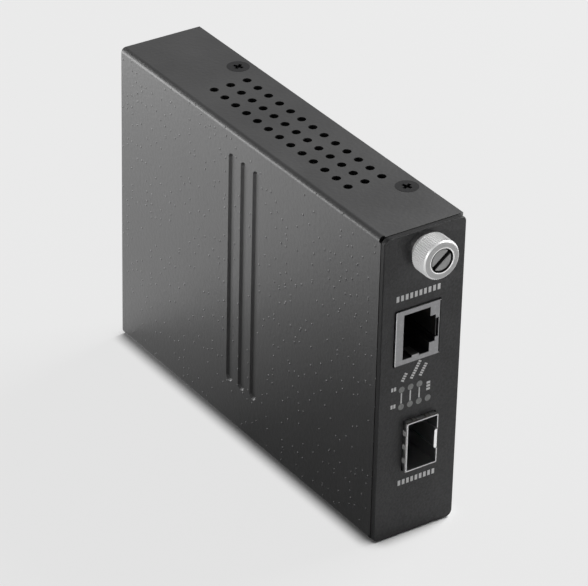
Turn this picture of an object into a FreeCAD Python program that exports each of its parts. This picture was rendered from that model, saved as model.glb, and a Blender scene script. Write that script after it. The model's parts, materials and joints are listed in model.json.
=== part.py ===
import FreeCAD, Part
import math
import os

# Fibre media converter in millimetres: X right, Y back, Z up.
# It stands on its narrow bottom face, and the origin is the middle of that face.
# A card (front plate, circuit board and sockets) slides out of a folded sleeve
# once its captive thumbscrew is undone.

# Sleeve
casing_width = 24.5
casing_depth = 121.0
casing_height = 88.0
sheet = 1.0
bend_inner_radius = 0.4
shell_gap = 0.05
rear_wall_inset = 0.2
flange_strip = 3.2
corner_relief = 1.2
bend_notch = 0.8
relief_radius = 2.0

# Pressed beads on the left panel
bead_count = 3
bead_pitch = 5.6
bead_width = 3.0
bead_length = 68.0
bead_depth = 0.6
bead_slope = 0.6
bead_middle_from_front = 61.6
bead_middle_drop = 41.0

# Vents in the top and bottom flanges
vent_radius = 1.23
vent_pitch = 5.08
vent_rows = 3
vent_middle_offset = 0.73
vent_front_inset = 27.0
vent_rear_inset = 33.0

# Cover screws
cover_screw_inset = 4.1
cover_screw_front = 19.5
cover_screw_rear_inset = 25.2
cover_screw_head_radius = 2.9
cover_screw_radius = 1.5
cover_screw_tip = 1.2
lug_margin = 6.0

# Card guides
guide_width = 4.2
guide_grip = 2.5
guide_length = 9.7
guide_start = 0.3
guide_floor = 1.0
slot_gap = 0.1
peg_width = 2.0

# Places on the front: shares of the height that the pieces leave free, from the top down,
# and the share of the free depth between the board and the right panel
share_below_knob = 0.252
share_below_jack = 0.147
share_between_lamps = 0.044
share_below_lamps = 0.078
share_behind_board = 0.58

# Front plate
plate_thickness = 1.3
plate_gap = 0.3
plate_corner_radius = 1.75
plate_edge_cut = 0.25
window_gap = 0.3
window_radius = 0.4
fit_gap = 0.05

# Circuit board
board_thickness = 1.6
board_margin = 5.0
board_front_gap = 0.3
board_rear_gap = 1.3
board_corner_radius = 1.0

# Board brackets and their screws
bracket_width = 4.6
bracket_reach = 6.0
bracket_foot_gap = 0.65
bracket_screw_from_plate = 3.6
lower_bracket_rise = 3.0
board_screw_radius = 1.25
board_screw_head_radius = 2.2
board_screw_head_height = 1.5

# Copper socket
jack_width = 15.4
jack_height = 13.4
jack_length = 21.3
jack_stand_out = 0.4
jack_corner_radius = 0.15
shield_wall = 0.25
shield_lift = 0.25
tab_from_outer = 5.1
tab_width = 2.2
tab_length = 4.2
tab_rise = 0.55
cavity_width = 12.8
cavity_height = 8.0
cavity_depth = 12.6
cavity_roof = 2.3
step_width = 7.6
step_height = 1.65
key_width = 5.4
key_depth = 0.2
key_wall = 0.2
key_slot_depth = 3.0
contact_count = 8
contact_pitch = 1.02
contact_thickness = 0.35
contact_drop = 2.1

# Optical module cage
cage_width = 14.3
cage_height = 9.5
cage_length = 48.7
cage_stand_out = 1.5
cage_wall = 0.3
cage_corner_radius = 0.2
latch_width = 5.6
latch_length = 9.0
latch_lift = 0.15
latch_lip = 0.85
latch_lip_radius = 0.35
finger_pitch = 4.05
finger_width = 1.4
finger_length = 5.2
finger_thickness = 0.12
finger_band = 0.5

# Host connector inside the cage
host_width = 11.0
host_height = 5.4
host_length = 8.0
host_from_cage_rear = 3.0
host_slot_height = 1.7
host_slot_width = 9.0
host_slot_rise = 3.0
host_contact_count = 10
host_contact_pitch = 0.8
host_contact_thickness = 0.25
host_contact_width = 0.4

# Indicator lamps
lamp_radius = 0.85
lamp_length = 4.2
lamp_sink = 0.15
lamp_pitch = 2.72
lamp_first_height = 2.5
lamp_columns = 4
upper_lamp_count = 3
holder_width = 3.2
holder_length = 5.5
holder_cap = 1.6

# Power socket at the rear
power_rise = 18.0
power_gap = 0.2
power_face_width = 9.0
power_face_height = 11.0
power_face_length = 3.3
power_barrel_radius = 3.9
power_length = 14.0
power_axis_height = 6.5
power_bore_radius = 3.1
power_bore_depth = 9.4
power_pin_radius = 1.0
power_pin_length = 8.4
power_hole_radius = 4.75
power_leaf_width = 2.0
power_leaf_thickness = 0.3
power_leaf_bow = 0.5

# Thumbscrew, its spring and the nut it turns into
thumbscrew_to_board = 5.3
knob_top_gap = 0.3
thumbscrew_pitch = 0.5
thumbscrew_turns = 8
knob_stand_out = 7.05
knob_radius = 5.4
knob_length = 5.7
knob_edge = 0.45
knob_recess_radius = 3.25
knob_recess_depth = 1.2
knob_web = 0.9
knob_bore_radius = 4.1
stud_head_radius = 3.1
stud_head_height = 0.9
stud_slot_width = 0.8
stud_slot_depth = 0.5
neck_radius = 1.2
thread_radius = 1.5
thread_past_nut = 0.3
running_gap = 0.05
ferrule_flange_radius = 4.0
ferrule_flange_height = 0.8
ferrule_barrel_radius = 3.0
ferrule_tube_radius = 2.4
ferrule_lip = 0.5
spring_wire_radius = 0.25
spring_turns = 4
nut_radius = 3.1
nut_height = 2.4
nut_spigot_radius = 2.1
latch_board_gap = 0.9
latch_lug_gap = 0.4
latch_reach = 12.9
latch_lip_margin = 2.7

# Parts soldered to the board: sizes along Y, along Z and off the board
chip_size = 14.0
chip_height = 1.2
chip_from_jack = 15.0
transformer_length = 7.0
transformer_width = 12.7
transformer_height = 5.9
transformer_from_jack = 3.5
memory_length = 3.9
memory_width = 4.9
memory_height = 1.4
memory_from_chip = 5.0
lead_pitch = 1.27
lead_width = 0.45
lead_reach = 1.1
lead_thickness = 0.2
crystal_length = 4.6
crystal_width = 11.4
crystal_height = 3.6
crystal_from_memory = 3.1
inductor_size = 7.2
inductor_height = 4.2
inductor_from_rear = 24.0
inductor_above_power = 13.0
capacitor_radius = 3.15
capacitor_height = 7.6
capacitor_base = 6.6
capacitor_from_rear = 24.0
capacitor_above_power = 27.0
capacitor_pitch = 20.0
regulator_length = 3.5
regulator_width = 6.5
regulator_height = 1.6
regulator_from_rear = 33.0

# Planes that several pieces share
half_width = casing_width / 2
front_face = -casing_depth / 2
rear_face = casing_depth / 2
plate_back = front_face + plate_thickness
casing_front = plate_back + plate_gap
left_inner = -half_width + sheet
right_inner = half_width - sheet
roof_inner = casing_height - sheet
tray_top = roof_inner - shell_gap
tray_bottom = sheet + shell_gap
rear_outer = rear_face - rear_wall_inset
rear_inner = rear_outer - sheet
flange_end = rear_inner - corner_relief
bend_outer_radius = bend_inner_radius + sheet

board_to_panel = share_behind_board * (casing_width - 2 * sheet - board_thickness - jack_height)
board_back = right_inner - board_to_panel
board_face = board_back - board_thickness
board_front = plate_back + board_front_gap
board_rear = rear_inner - board_rear_gap
board_bottom = board_margin
board_top = casing_height - board_margin

thumbscrew_x = board_face - thumbscrew_to_board
thumbscrew_z = casing_height - knob_top_gap - knob_radius
latch_half_width = thumbscrew_to_board - latch_board_gap
nut_front = casing_front + sheet
nut_back = nut_front + nut_height
lip_bottom = thumbscrew_z - nut_radius - latch_lip_margin

spare_height = (casing_height - knob_top_gap - 2 * knob_radius - jack_width - 2 * holder_width
                - cage_width)
jack_top = thumbscrew_z - knob_radius - share_below_knob * spare_height
jack_z = jack_top - jack_width / 2
upper_lamp_z = jack_top - jack_width - share_below_jack * spare_height - holder_width / 2
lower_lamp_z = upper_lamp_z - holder_width - share_between_lamps * spare_height
jack_front = front_face - jack_stand_out
jack_back = jack_front + jack_length
jack_outer = board_face - jack_height
shield_floor = board_face - shield_lift - shield_wall
cage_z = lower_lamp_z - holder_width / 2 - share_below_lamps * spare_height - cage_width / 2
cage_front = front_face - cage_stand_out
cage_back = cage_front + cage_length
cage_outer = board_face - cage_height
lug_edge = thumbscrew_x + latch_half_width + latch_lug_gap

power_z = board_bottom + power_rise

cover_screw_x = half_width - cover_screw_inset
cover_screw_ys = [front_face + cover_screw_front, rear_face - cover_screw_rear_inset]

# Corners rounder than this are arcs, and smaller ones are cut flat.
arc_limit = 0.5
# Small rods and repeated holes have flat sides, so that the model stays light.
small_sides = 12
vent_sides = 10
large_sides = 24
knob_sides = 36

plane_points = {
    "xz": lambda a, b, c: FreeCAD.Vector(a, c, b),
    "xy": lambda a, b, c: FreeCAD.Vector(a, b, c),
    "yz": lambda a, b, c: FreeCAD.Vector(c, a, b),
}
plane_normals = {
    "xz": FreeCAD.Vector(0, 1, 0),
    "xy": FreeCAD.Vector(0, 0, 1),
    "yz": FreeCAD.Vector(1, 0, 0),
}


def outline_edges(corners):
    """Lines and arcs round flat corners (a, b, radius), as pairs and triples of (a, b)."""
    pieces = []
    starts = []
    ends = []
    count = len(corners)
    for i in range(count):
        a, b, radius = corners[i]
        before = corners[i - 1]
        after = corners[(i + 1) % count]
        if radius <= 0:
            starts.append((a, b))
            ends.append((a, b))
            pieces.append(None)
            continue
        to_before = (before[0] - a, before[1] - b)
        to_after = (after[0] - a, after[1] - b)
        long_before = math.hypot(*to_before)
        long_after = math.hypot(*to_after)
        unit_before = (to_before[0] / long_before, to_before[1] / long_before)
        unit_after = (to_after[0] / long_after, to_after[1] / long_after)
        cosine = unit_before[0] * unit_after[0] + unit_before[1] * unit_after[1]
        half_angle = math.acos(max(-1.0, min(1.0, cosine))) / 2
        back = radius / math.tan(half_angle)
        start = (a + unit_before[0] * back, b + unit_before[1] * back)
        end = (a + unit_after[0] * back, b + unit_after[1] * back)
        middle = (unit_before[0] + unit_after[0], unit_before[1] + unit_after[1])
        middle_length = math.hypot(*middle)
        reach = radius / math.sin(half_angle) - radius
        crown = (a + middle[0] / middle_length * reach, b + middle[1] / middle_length * reach)
        starts.append(start)
        ends.append(end)
        pieces.append((start, end) if radius < arc_limit else (start, crown, end))
    edges = []
    for i in range(count):
        if pieces[i]:
            edges.append(pieces[i])
        nearest = starts[(i + 1) % count]
        if math.dist(ends[i], nearest) > 1e-6:
            edges.append((ends[i], nearest))
    return edges


def outline_wire(corners, plane, level):
    """Closed wire round corners (a, b, radius) at one level of a plane."""
    point = plane_points[plane]
    edges = []
    for piece in outline_edges(corners):
        places = [point(a, b, level) for a, b in piece]
        if len(places) == 3:
            edges.append(Part.Arc(*places).toShape())
        else:
            edges.append(Part.LineSegment(*places).toShape())
    return Part.Wire(edges)


def prism(corners, plane, low, high):
    """Solid with the outline of the corners, from one level of the plane to another."""
    face = Part.Face(outline_wire(corners, plane, low))
    return face.extrude(plane_normals[plane] * (high - low))


def block(x0, x1, y0, y1, z0, z1):
    return Part.makeBox(x1 - x0, y1 - y0, z1 - z0, FreeCAD.Vector(x0, y0, z0))


def rounded(a0, a1, b0, b1, radius):
    """Corners of a rectangle with one radius."""
    return [(a0, b0, radius), (a1, b0, radius), (a1, b1, radius), (a0, b1, radius)]


def ring(radius, a, b, sides=small_sides):
    """Sharp corners of a many-sided ring, with a flat side towards each axis."""
    angles = [(i + 0.5) * 2 * math.pi / sides for i in range(sides)]
    return [(a + radius * math.cos(angle), b + radius * math.sin(angle), 0) for angle in angles]


def ring_loft(plane, a, b, levels, sides=small_sides):
    """Many-sided solid through (level, radius) pairs, such as a cone or a dome."""
    wires = [outline_wire(ring(radius, a, b, sides), plane, level) for level, radius in levels]
    return Part.makeLoft(wires, True, True)


def flat_faced(polygons):
    """Solid with these flat faces, each a list of corners."""
    faces = [Part.Face(Part.makePolygon(corners + corners[:1])) for corners in polygons]
    return Part.Solid(Part.Shell(faces))


def bands(sections):
    """Four-cornered faces that join each section to the next."""
    faces = []
    for near, far in zip(sections, sections[1:]):
        for i in range(len(near)):
            faces.append([near[i - 1], near[i], far[i], far[i - 1]])
    return faces


def long_ring(a0, a1, b0, b1):
    """Corners of a long shape whose ends in b are many-sided half rings."""
    half = (a1 - a0) / 2
    middle = (a0 + a1) / 2
    upper = [corner for corner in ring(half, middle, b1 - half) if corner[1] > b1 - half]
    lower = [corner for corner in ring(half, middle, b0 + half) if corner[1] < b0 + half]
    return upper + lower


def rod_x(radius, x0, x1, y, z):
    return prism(ring(radius, y, z), "yz", x0, x1)


def rod_y(radius, y0, y1, x, z, sides=small_sides):
    return prism(ring(radius, x, z, sides), "xz", y0, y1)


def rod_z(radius, z0, z1, x, y, sides=small_sides):
    return prism(ring(radius, x, y, sides), "xy", z0, z1)


def true_rod_y(radius, y0, y1, x, z):
    return Part.makeCylinder(radius, y1 - y0, FreeCAD.Vector(x, y0, z), FreeCAD.Vector(0, 1, 0))


def turned(profile, x, z, hollow, sides=large_sides):
    """Many-sided solid turned about the Y axis through (x, z) from (radius, y) points.

    A hollow one's profile closes on itself, and a solid one has a flat end at each end of it.
    """
    sections = []
    for radius, y in profile:
        sections.append([FreeCAD.Vector(a, y, b) for a, b, _ in ring(radius, x, z, sides)])
    if hollow:
        return flat_faced(bands(sections + sections[:1])).removeSplitter()
    return flat_faced(bands(sections) + [sections[0], sections[-1]])


def mirrored_top(shape):
    """The same shape reflected about the casing's middle height."""
    return shape.mirror(FreeCAD.Vector(0, 0, casing_height / 2), FreeCAD.Vector(0, 0, 1))


def fused(shapes):
    return shapes[0].multiFuse(shapes[1:]).removeSplitter()


# Sleeve

def vent_holes():
    span = casing_depth - vent_front_inset - vent_rear_inset
    columns = int(span / vent_pitch + 0.001) + 1
    holes = []
    for row in range(vent_rows):
        x = vent_middle_offset + (row - (vent_rows - 1) / 2) * vent_pitch
        for column in range(columns):
            y = front_face + vent_front_inset + column * vent_pitch
            holes.append(rod_z(vent_radius, -sheet, casing_height + sheet, x, y, vent_sides))
    return holes


def screw_cone(y, gap):
    """Countersunk head with its shank at the top flange, grown by a gap."""
    shank = cover_screw_radius + gap
    return ring_loft("xy", cover_screw_x, y, [
        (tray_top - sheet - cover_screw_tip, shank), (roof_inner, shank),
        (casing_height, cover_screw_head_radius + gap),
    ], large_sides)


def cover_screw_places():
    shapes = [screw_cone(y, 0) for y in cover_screw_ys]
    return shapes + [mirrored_top(shape) for shape in shapes]


def cover_screw_holes():
    shapes = [screw_cone(y, fit_gap) for y in cover_screw_ys]
    return shapes + [mirrored_top(shape) for shape in shapes]


def bead(y, grow, x0, x1, slope):
    """One pressed bead: a round-ended groove with sloping sides."""
    z = casing_height - bead_middle_drop
    wires = []
    for x, inset in ((x0, 0), (x1, slope)):
        half = bead_width / 2 + grow - inset
        reach = bead_length / 2 + grow - inset
        wires.append(outline_wire(long_ring(y - half, y + half, z - reach, z + reach), "yz", x))
    return Part.makeLoft(wires, True, True)


def cover():
    """Left panel with top and bottom flanges, folded from one sheet."""
    profile = [
        (-half_width, 0, bend_outer_radius), (half_width, 0, 0), (half_width, sheet, 0),
        (left_inner, sheet, bend_inner_radius), (left_inner, roof_inner, bend_inner_radius),
        (half_width, roof_inner, 0), (half_width, casing_height, 0),
        (-half_width, casing_height, bend_outer_radius),
    ]
    shape = prism(profile, "xz", casing_front, rear_face)
    for i in range(bead_count):
        middle = front_face + bead_middle_from_front
        y = middle + (i - (bead_count - 1) / 2) * bead_pitch
        inner_bump = bead(y, sheet / 3, left_inner - sheet / 2, left_inner + bead_depth, bead_slope)
        shape = shape.fuse(inner_bump)
        outer_groove = bead(y, 0, -half_width, -half_width + bead_depth, bead_slope)
        shape = shape.cut(outer_groove)
    notches = []
    for z in (0, casing_height - bend_outer_radius):
        notches.append(block(-half_width, -half_width + bend_outer_radius, casing_front,
                             casing_front + bend_notch, z, z + bend_outer_radius))
    return shape.cut(vent_holes() + cover_screw_holes() + notches)


def base_tray():
    """Right panel, rear wall and the lugs under the cover's flanges, folded from one sheet."""
    flanged = [
        (half_width, tray_bottom, bend_outer_radius), (half_width, tray_top, bend_outer_radius),
        (lug_edge, tray_top, 0), (lug_edge, tray_top - sheet, 0),
        (right_inner, tray_top - sheet, bend_inner_radius),
        (right_inner, tray_bottom + sheet, bend_inner_radius),
        (lug_edge, tray_bottom + sheet, 0), (lug_edge, tray_bottom, 0),
    ]
    side = prism(flanged, "xz", casing_front, flange_end)
    strip_edge = half_width - flange_strip
    relief_start = cover_screw_ys[0] + lug_margin
    relief_end = cover_screw_ys[1] - lug_margin
    relief = prism([
        (lug_edge - sheet, relief_start, 0), (strip_edge, relief_start, relief_radius),
        (strip_edge, relief_end, relief_radius), (lug_edge - sheet, relief_end, 0),
    ], "xy", 0, casing_height)
    side = side.cut(relief)
    wall = prism([
        (half_width, flange_end, 0), (half_width, rear_outer, bend_outer_radius),
        (left_inner + shell_gap, rear_outer, 0), (left_inner + shell_gap, rear_inner, 0),
        (right_inner, rear_inner, bend_inner_radius), (right_inner, flange_end, 0),
    ], "xy", tray_bottom, tray_top)
    wall = wall.common(prism([
        (left_inner + shell_gap, tray_bottom, bend_outer_radius), (half_width, tray_bottom, 0),
        (half_width, tray_top, 0), (left_inner + shell_gap, tray_top, bend_outer_radius),
    ], "xz", flange_end, rear_outer))
    power_hole = rod_y(power_hole_radius, rear_inner - sheet, rear_face + sheet,
                       board_face - power_axis_height, power_z, large_sides)
    shape = side.fuse(wall)
    return shape.cut([power_hole] + cover_screw_holes() + guide_peg_holes())


def cover_screws():
    return Part.makeCompound(cover_screw_places())


def guide_starts():
    front_start = plate_back + bracket_reach + guide_start
    rear_start = flange_end - guide_start - guide_length
    return [front_start, rear_start]


def peg_place(start):
    return board_face + board_thickness / 2, start + guide_length / 2


def guide_peg_holes():
    holes = []
    for start in guide_starts():
        x, y = peg_place(start)
        half = peg_width / 2 + fit_gap
        holes.append(block(x - half, x + half, y - half, y + half, -sheet, casing_height + sheet))
    return holes


def card_guide(start, upper):
    """Moulded channel that grips the board's edge, with a peg through the lug."""
    x, y = peg_place(start)
    top = tray_top - sheet
    floor = board_top - guide_grip
    slot_x0 = board_face - slot_gap
    slot_x1 = board_back + slot_gap
    ceiling = board_top + slot_gap
    left = x - guide_width / 2
    right = x + guide_width / 2
    lead = (slot_x0 - left) / 2
    profile = [
        (left, floor, 0.3), (slot_x0, floor, 0), (slot_x0, ceiling, 0), (slot_x1, ceiling, 0),
        (slot_x1, floor, 0), (right, floor, 0.3), (right, top, 0), (left, top, 0),
    ]
    channel = prism(profile, "xz", start, start + guide_length)
    mouths = []
    for end, inward in ((start, 1), (start + guide_length, -1)):
        mouths.append(prism([
            (slot_x0 - lead, end, 0), (slot_x1 + lead, end, 0),
            (slot_x1, end + inward * guide_floor, 0), (slot_x0, end + inward * guide_floor, 0),
        ], "xy", floor - sheet, ceiling))
    half = peg_width / 2
    peg = block(x - half, x + half, y - half, y + half, top, tray_top)
    shape = channel.cut(mouths).fuse(peg)
    return shape if upper else mirrored_top(shape)


def latch_bracket():
    """Angle under the roof whose lip carries the nut, right behind the front plate."""
    left = thumbscrew_x - latch_half_width
    right = thumbscrew_x + latch_half_width
    shape = prism([
        (casing_front, roof_inner, bend_outer_radius), (casing_front, lip_bottom, 0),
        (casing_front + sheet, lip_bottom, 0),
        (casing_front + sheet, roof_inner - sheet, bend_inner_radius),
        (casing_front + latch_reach, roof_inner - sheet, 0), (casing_front + latch_reach, roof_inner, 0),
    ], "yz", left, right)
    hole = rod_y(nut_spigot_radius + fit_gap, casing_front - sheet, casing_front + 2 * sheet,
                 thumbscrew_x, thumbscrew_z)
    return shape.cut(hole)


def clinch_nut():
    body = rod_y(nut_radius, nut_front, nut_back, thumbscrew_x, thumbscrew_z)
    spigot = rod_y(nut_spigot_radius, casing_front + fit_gap, nut_front, thumbscrew_x, thumbscrew_z)
    bore = true_rod_y(thread_radius + running_gap, casing_front - sheet, nut_back + sheet,
                       thumbscrew_x, thumbscrew_z)
    return body.fuse(spigot).cut(bore)


# Card

def jack_outline(grow):
    """Corners of the copper socket's face, grown by a gap."""
    return rounded(jack_outer - grow, board_face + grow, jack_z - jack_width / 2 - grow,
                   jack_z + jack_width / 2 + grow, jack_corner_radius)


def cage_outline(grow):
    """Corners of the cage's section, grown or shrunk."""
    return rounded(cage_outer - grow, board_face + grow, cage_z - cage_width / 2 - grow,
                   cage_z + cage_width / 2 + grow, cage_corner_radius)


def lamp_x(column):
    """Lamps stand off the board, the highest one first."""
    return board_face - lamp_first_height - (lamp_columns - 1 - column) * lamp_pitch


def lamp_places():
    upper = [(lamp_x(i), upper_lamp_z) for i in range(upper_lamp_count)]
    lower = [(lamp_x(i), lower_lamp_z) for i in range(lamp_columns)]
    return upper, lower


def front_plate():
    """Plate with rounded corners and the openings for sockets, lamps and thumbscrew."""
    shape = prism(rounded(-half_width, half_width, 0, casing_height, plate_corner_radius),
                  "xz", front_face, plate_back)
    rim = [edge for edge in shape.Edges if abs(edge.BoundBox.YMax - front_face) < 1e-6]
    shape = shape.makeChamfer(plate_edge_cut, rim)
    low = front_face - sheet
    high = plate_back + sheet
    cuts = [prism(jack_outline(window_gap), "xz", low, high),
            prism(cage_outline(window_gap), "xz", low, high),
            rod_y(ferrule_barrel_radius + fit_gap, low, high, thumbscrew_x, thumbscrew_z,
                  large_sides)]
    upper, lower = lamp_places()
    for x, z in upper + lower:
        cuts.append(rod_y(lamp_radius + fit_gap, low, high, x, z))
    return shape.cut(cuts)


def bracket_heights():
    return {"upper": (jack_top + lip_bottom) / 2, "lower": board_bottom + lower_bracket_rise}


def circuit_board():
    corners = rounded(board_front, board_rear, board_bottom, board_top, board_corner_radius)
    shape = prism(corners, "yz", board_face, board_back)
    notch_end = cage_front + finger_band + finger_length + window_gap
    half_notch = cage_width / 2
    holes = [prism([
        (board_front - sheet, cage_z - half_notch, 0), (notch_end, cage_z - half_notch, window_radius),
        (notch_end, cage_z + half_notch, window_radius), (board_front - sheet, cage_z + half_notch, 0),
    ], "yz", board_face - sheet, board_back + sheet)]
    for z in bracket_heights().values():
        holes.append(rod_x(board_screw_radius + fit_gap, board_face - sheet, board_back + sheet,
                           plate_back + bracket_screw_from_plate, z))
    return shape.cut(holes)


def board_bracket(z):
    """Small angle between the front plate's back and the board's solder side."""
    foot = right_inner - bracket_foot_gap
    shape = prism([
        (board_back, plate_back, bend_outer_radius), (foot, plate_back, 0),
        (foot, plate_back + sheet, 0),
        (board_back + sheet, plate_back + sheet, bend_inner_radius),
        (board_back + sheet, plate_back + bracket_reach, 0), (board_back, plate_back + bracket_reach, 0),
    ], "xy", z - bracket_width / 2, z + bracket_width / 2)
    hole = rod_x(board_screw_radius + fit_gap, board_back - sheet, board_back + 2 * sheet,
                 plate_back + bracket_screw_from_plate, z)
    return shape.cut(hole)


def board_screws():
    shapes = []
    for z in bracket_heights().values():
        y = plate_back + bracket_screw_from_plate
        crown = board_face - board_screw_head_height
        rim = crown + board_screw_head_height / 2
        point = board_back + sheet + board_screw_radius / 2
        head = ring_loft("yz", y, z, [(crown, board_screw_head_radius * 0.8),
                                      (rim, board_screw_head_radius),
                                      (board_face, board_screw_head_radius)])
        shapes.append(head.fuse(rod_x(board_screw_radius, board_face, point, y, z)))
    return Part.makeCompound(shapes)


def cavity_steps():
    """Where the plug cavity starts, steps in to its shoulders and steps in to its key."""
    start = jack_outer + cavity_roof
    return start, start + cavity_height, start + cavity_height + step_height


def socket_cavity(front, back, key_end):
    """Stepped plug cavity: body, shoulders and latch key."""
    x0, x1, x2 = cavity_steps()
    half = cavity_width / 2
    half_step = step_width / 2
    half_key = key_width / 2
    return prism([
        (x0, jack_z - half, 0), (x1, jack_z - half, 0), (x1, jack_z - half_step, 0),
        (x2, jack_z - half_step, 0), (x2, jack_z - half_key, 0), (key_end, jack_z - half_key, 0),
        (key_end, jack_z + half_key, 0), (x2, jack_z + half_key, 0), (x2, jack_z + half_step, 0),
        (x1, jack_z + half_step, 0), (x1, jack_z + half, 0), (x0, jack_z + half, 0),
    ], "xz", front, back)


def rj45_shield():
    """Folded metal can round the socket, whose side walls stand on the board."""
    low = jack_z - jack_width / 2 + shield_wall
    high = jack_z + jack_width / 2 - shield_wall
    outer = prism(jack_outline(0), "xz", jack_front, jack_back)
    inner = block(jack_outer + shield_wall, shield_floor, jack_front + shield_wall,
                  jack_back - shield_wall, low, high)
    under = block(shield_floor + shield_wall, board_face + sheet, jack_front - sheet,
                  jack_back - shield_wall, low, high)
    mouth = socket_cavity(jack_front - sheet, jack_front + sheet, shield_floor)
    edge = jack_z - cavity_width / 2
    inside = jack_front + shield_wall
    tip = jack_front + tab_length
    tab = prism([
        (jack_front, edge - shield_wall, 0), (jack_front, edge + tab_rise, 0),
        (inside, edge + tab_rise, 0), (tip, edge + tab_rise / 2 + shield_wall / 2, 0),
        (tip, edge + tab_rise / 2 - shield_wall / 2, 0), (inside, edge + tab_rise - shield_wall, 0),
        (inside, edge - shield_wall, 0),
    ], "yz", jack_outer + tab_from_outer, jack_outer + tab_from_outer + tab_width)
    return outer.cut([inner, under, mouth]).fuse(tab).removeSplitter()


def rj45_housing():
    """Moulded insert with the stepped plug cavity, and a slot behind the key's thin wall."""
    front = jack_front + shield_wall
    shape = block(jack_outer + shield_wall, shield_floor, front,
                  jack_back - shield_wall, jack_z - jack_width / 2 + shield_wall,
                  jack_z + jack_width / 2 - shield_wall)
    key_end = cavity_steps()[2] + key_depth
    slot = block(key_end + key_wall, board_face, jack_front - sheet, front + key_slot_depth,
                 jack_z - key_width / 2, jack_z + key_width / 2)
    return shape.cut([socket_cavity(jack_front - sheet, jack_front + cavity_depth, key_end), slot])


def rj45_contacts():
    """Eight sprung wires that slope back into the plug cavity."""
    roof = jack_outer + cavity_roof
    back = jack_front + cavity_depth
    front = jack_front + shield_wall + 1.0
    knee = back - 2.5
    shapes = []
    for i in range(contact_count):
        z = jack_z + (i - (contact_count - 1) / 2) * contact_pitch
        shapes.append(prism([
            (roof, front, 0), (roof + contact_thickness, front, 0),
            (roof + contact_drop, knee, 0), (roof + contact_drop, back, 0),
            (roof + contact_drop - contact_thickness, back, 0),
            (roof + contact_drop - contact_thickness, knee + contact_thickness / 2, 0),
            (roof, front + 2 * contact_thickness, 0),
        ], "xy", z - contact_thickness / 2, z + contact_thickness / 2))
    return Part.makeCompound(shapes)


def sfp_cage():
    """Folded cage, open at the mouth, with the lipped latch tongue on its board side."""
    outer = prism(cage_outline(0), "xz", cage_front, cage_back)
    inner = prism(cage_outline(-cage_wall), "xz", cage_front - sheet, cage_back - cage_wall)
    host_front = cage_back - host_from_cage_rear - host_length
    host_opening = block(board_face - sheet, board_face + sheet, host_front - sheet,
                         cage_back - cage_wall - sheet / 2,
                         cage_z - host_width / 2 - window_gap, cage_z + host_width / 2 + window_gap)
    half = latch_width / 2
    tongue_root = front_face + sheet + latch_length
    tongue_opening = block(board_face - cage_wall * 1.5, board_face + cage_wall, cage_front - sheet,
                           tongue_root, cage_z - half - cage_wall, cage_z + half + cage_wall)
    tongue = prism([
        (board_face - cage_wall, tongue_root + sheet, 0), (board_face, tongue_root + sheet, 0),
        (board_face, tongue_root - sheet, 0), (board_face - latch_lift, cage_front, 0),
        (board_face - latch_lift - cage_wall, cage_front, 0),
        (board_face - cage_wall, tongue_root - sheet, 0),
    ], "xy", cage_z - half, cage_z + half)
    lip_edge = board_face - latch_lift - latch_lip
    lip = prism([
        (lip_edge, cage_z - half, latch_lip_radius), (board_face - latch_lift, cage_z - half, 0),
        (board_face - latch_lift, cage_z + half, 0), (lip_edge, cage_z + half, latch_lip_radius),
    ], "xz", cage_front, cage_front + cage_wall)
    return outer.cut([inner, host_opening, tongue_opening]).fuse([tongue, lip]).removeSplitter()


def finger(offset, out, along, across):
    """One bowed contact finger beside the cage wall, between the window edge and the wall.

    offset is the wall's coordinate, out its outward sign, across the finger's middle.
    """
    y0 = cage_front + finger_band
    y1 = y0 + finger_length
    crown = window_gap - fit_gap
    top = offset + out * crown
    under = top - out * finger_thickness
    near = offset + out * finger_thickness
    plane = "xy" if along == "z" else "yz"
    low = across - finger_width / 2
    high = across + finger_width / 2

    def place(side, y):
        return (side, y, 0) if plane == "xy" else (y, side, 0)

    third = (y1 - y0) / 3
    points = [place(offset, y0), place(near, y0), place(top, y0 + third), place(top, y1 - third),
              place(near, y1), place(offset, y1), place(under, y1 - third), place(under, y0 + third)]
    return prism(points, plane, low, high)


def sfp_emi_springs():
    """Band hooked round the cage's mouth, with bowed fingers that touch the plate's window."""
    band = prism(cage_outline(finger_thickness), "xz", cage_front, cage_front + finger_band)
    hole = prism(cage_outline(0), "xz", cage_front - sheet, cage_front + sheet)
    shapes = [band.cut(hole)]
    z_counts = int((cage_width - 2 * window_radius) / finger_pitch)
    x_counts = int((cage_height - 2 * window_radius) / finger_pitch)
    for i in range(z_counts):
        z = cage_z + (i - (z_counts - 1) / 2) * finger_pitch
        shapes.append(finger(cage_outer, -1, "z", z))
        shapes.append(finger(board_face, 1, "z", z))
    x_middle = (cage_outer + board_face) / 2
    for i in range(x_counts):
        x = x_middle + (i - (x_counts - 1) / 2) * finger_pitch
        shapes.append(finger(cage_z - cage_width / 2, -1, "x", x))
        shapes.append(finger(cage_z + cage_width / 2, 1, "x", x))
    return shapes[0].multiFuse(shapes[1:])


def host_span():
    back = cage_back - host_from_cage_rear
    return back - host_length, back


def sfp_host_housing():
    """Moulded connector whose slot takes the module's edge."""
    front, back = host_span()
    top = board_face - host_height
    shape = prism([
        (top, front, window_radius), (board_face, front, 0), (board_face, back, 0),
        (top, back, window_radius),
    ], "xy", cage_z - host_width / 2, cage_z + host_width / 2)
    slot_x = board_face - host_slot_rise
    slot = block(slot_x - host_slot_height / 2, slot_x + host_slot_height / 2, front - sheet, back + sheet,
                 cage_z - host_slot_width / 2, cage_z + host_slot_width / 2)
    return shape.cut(slot)


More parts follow.
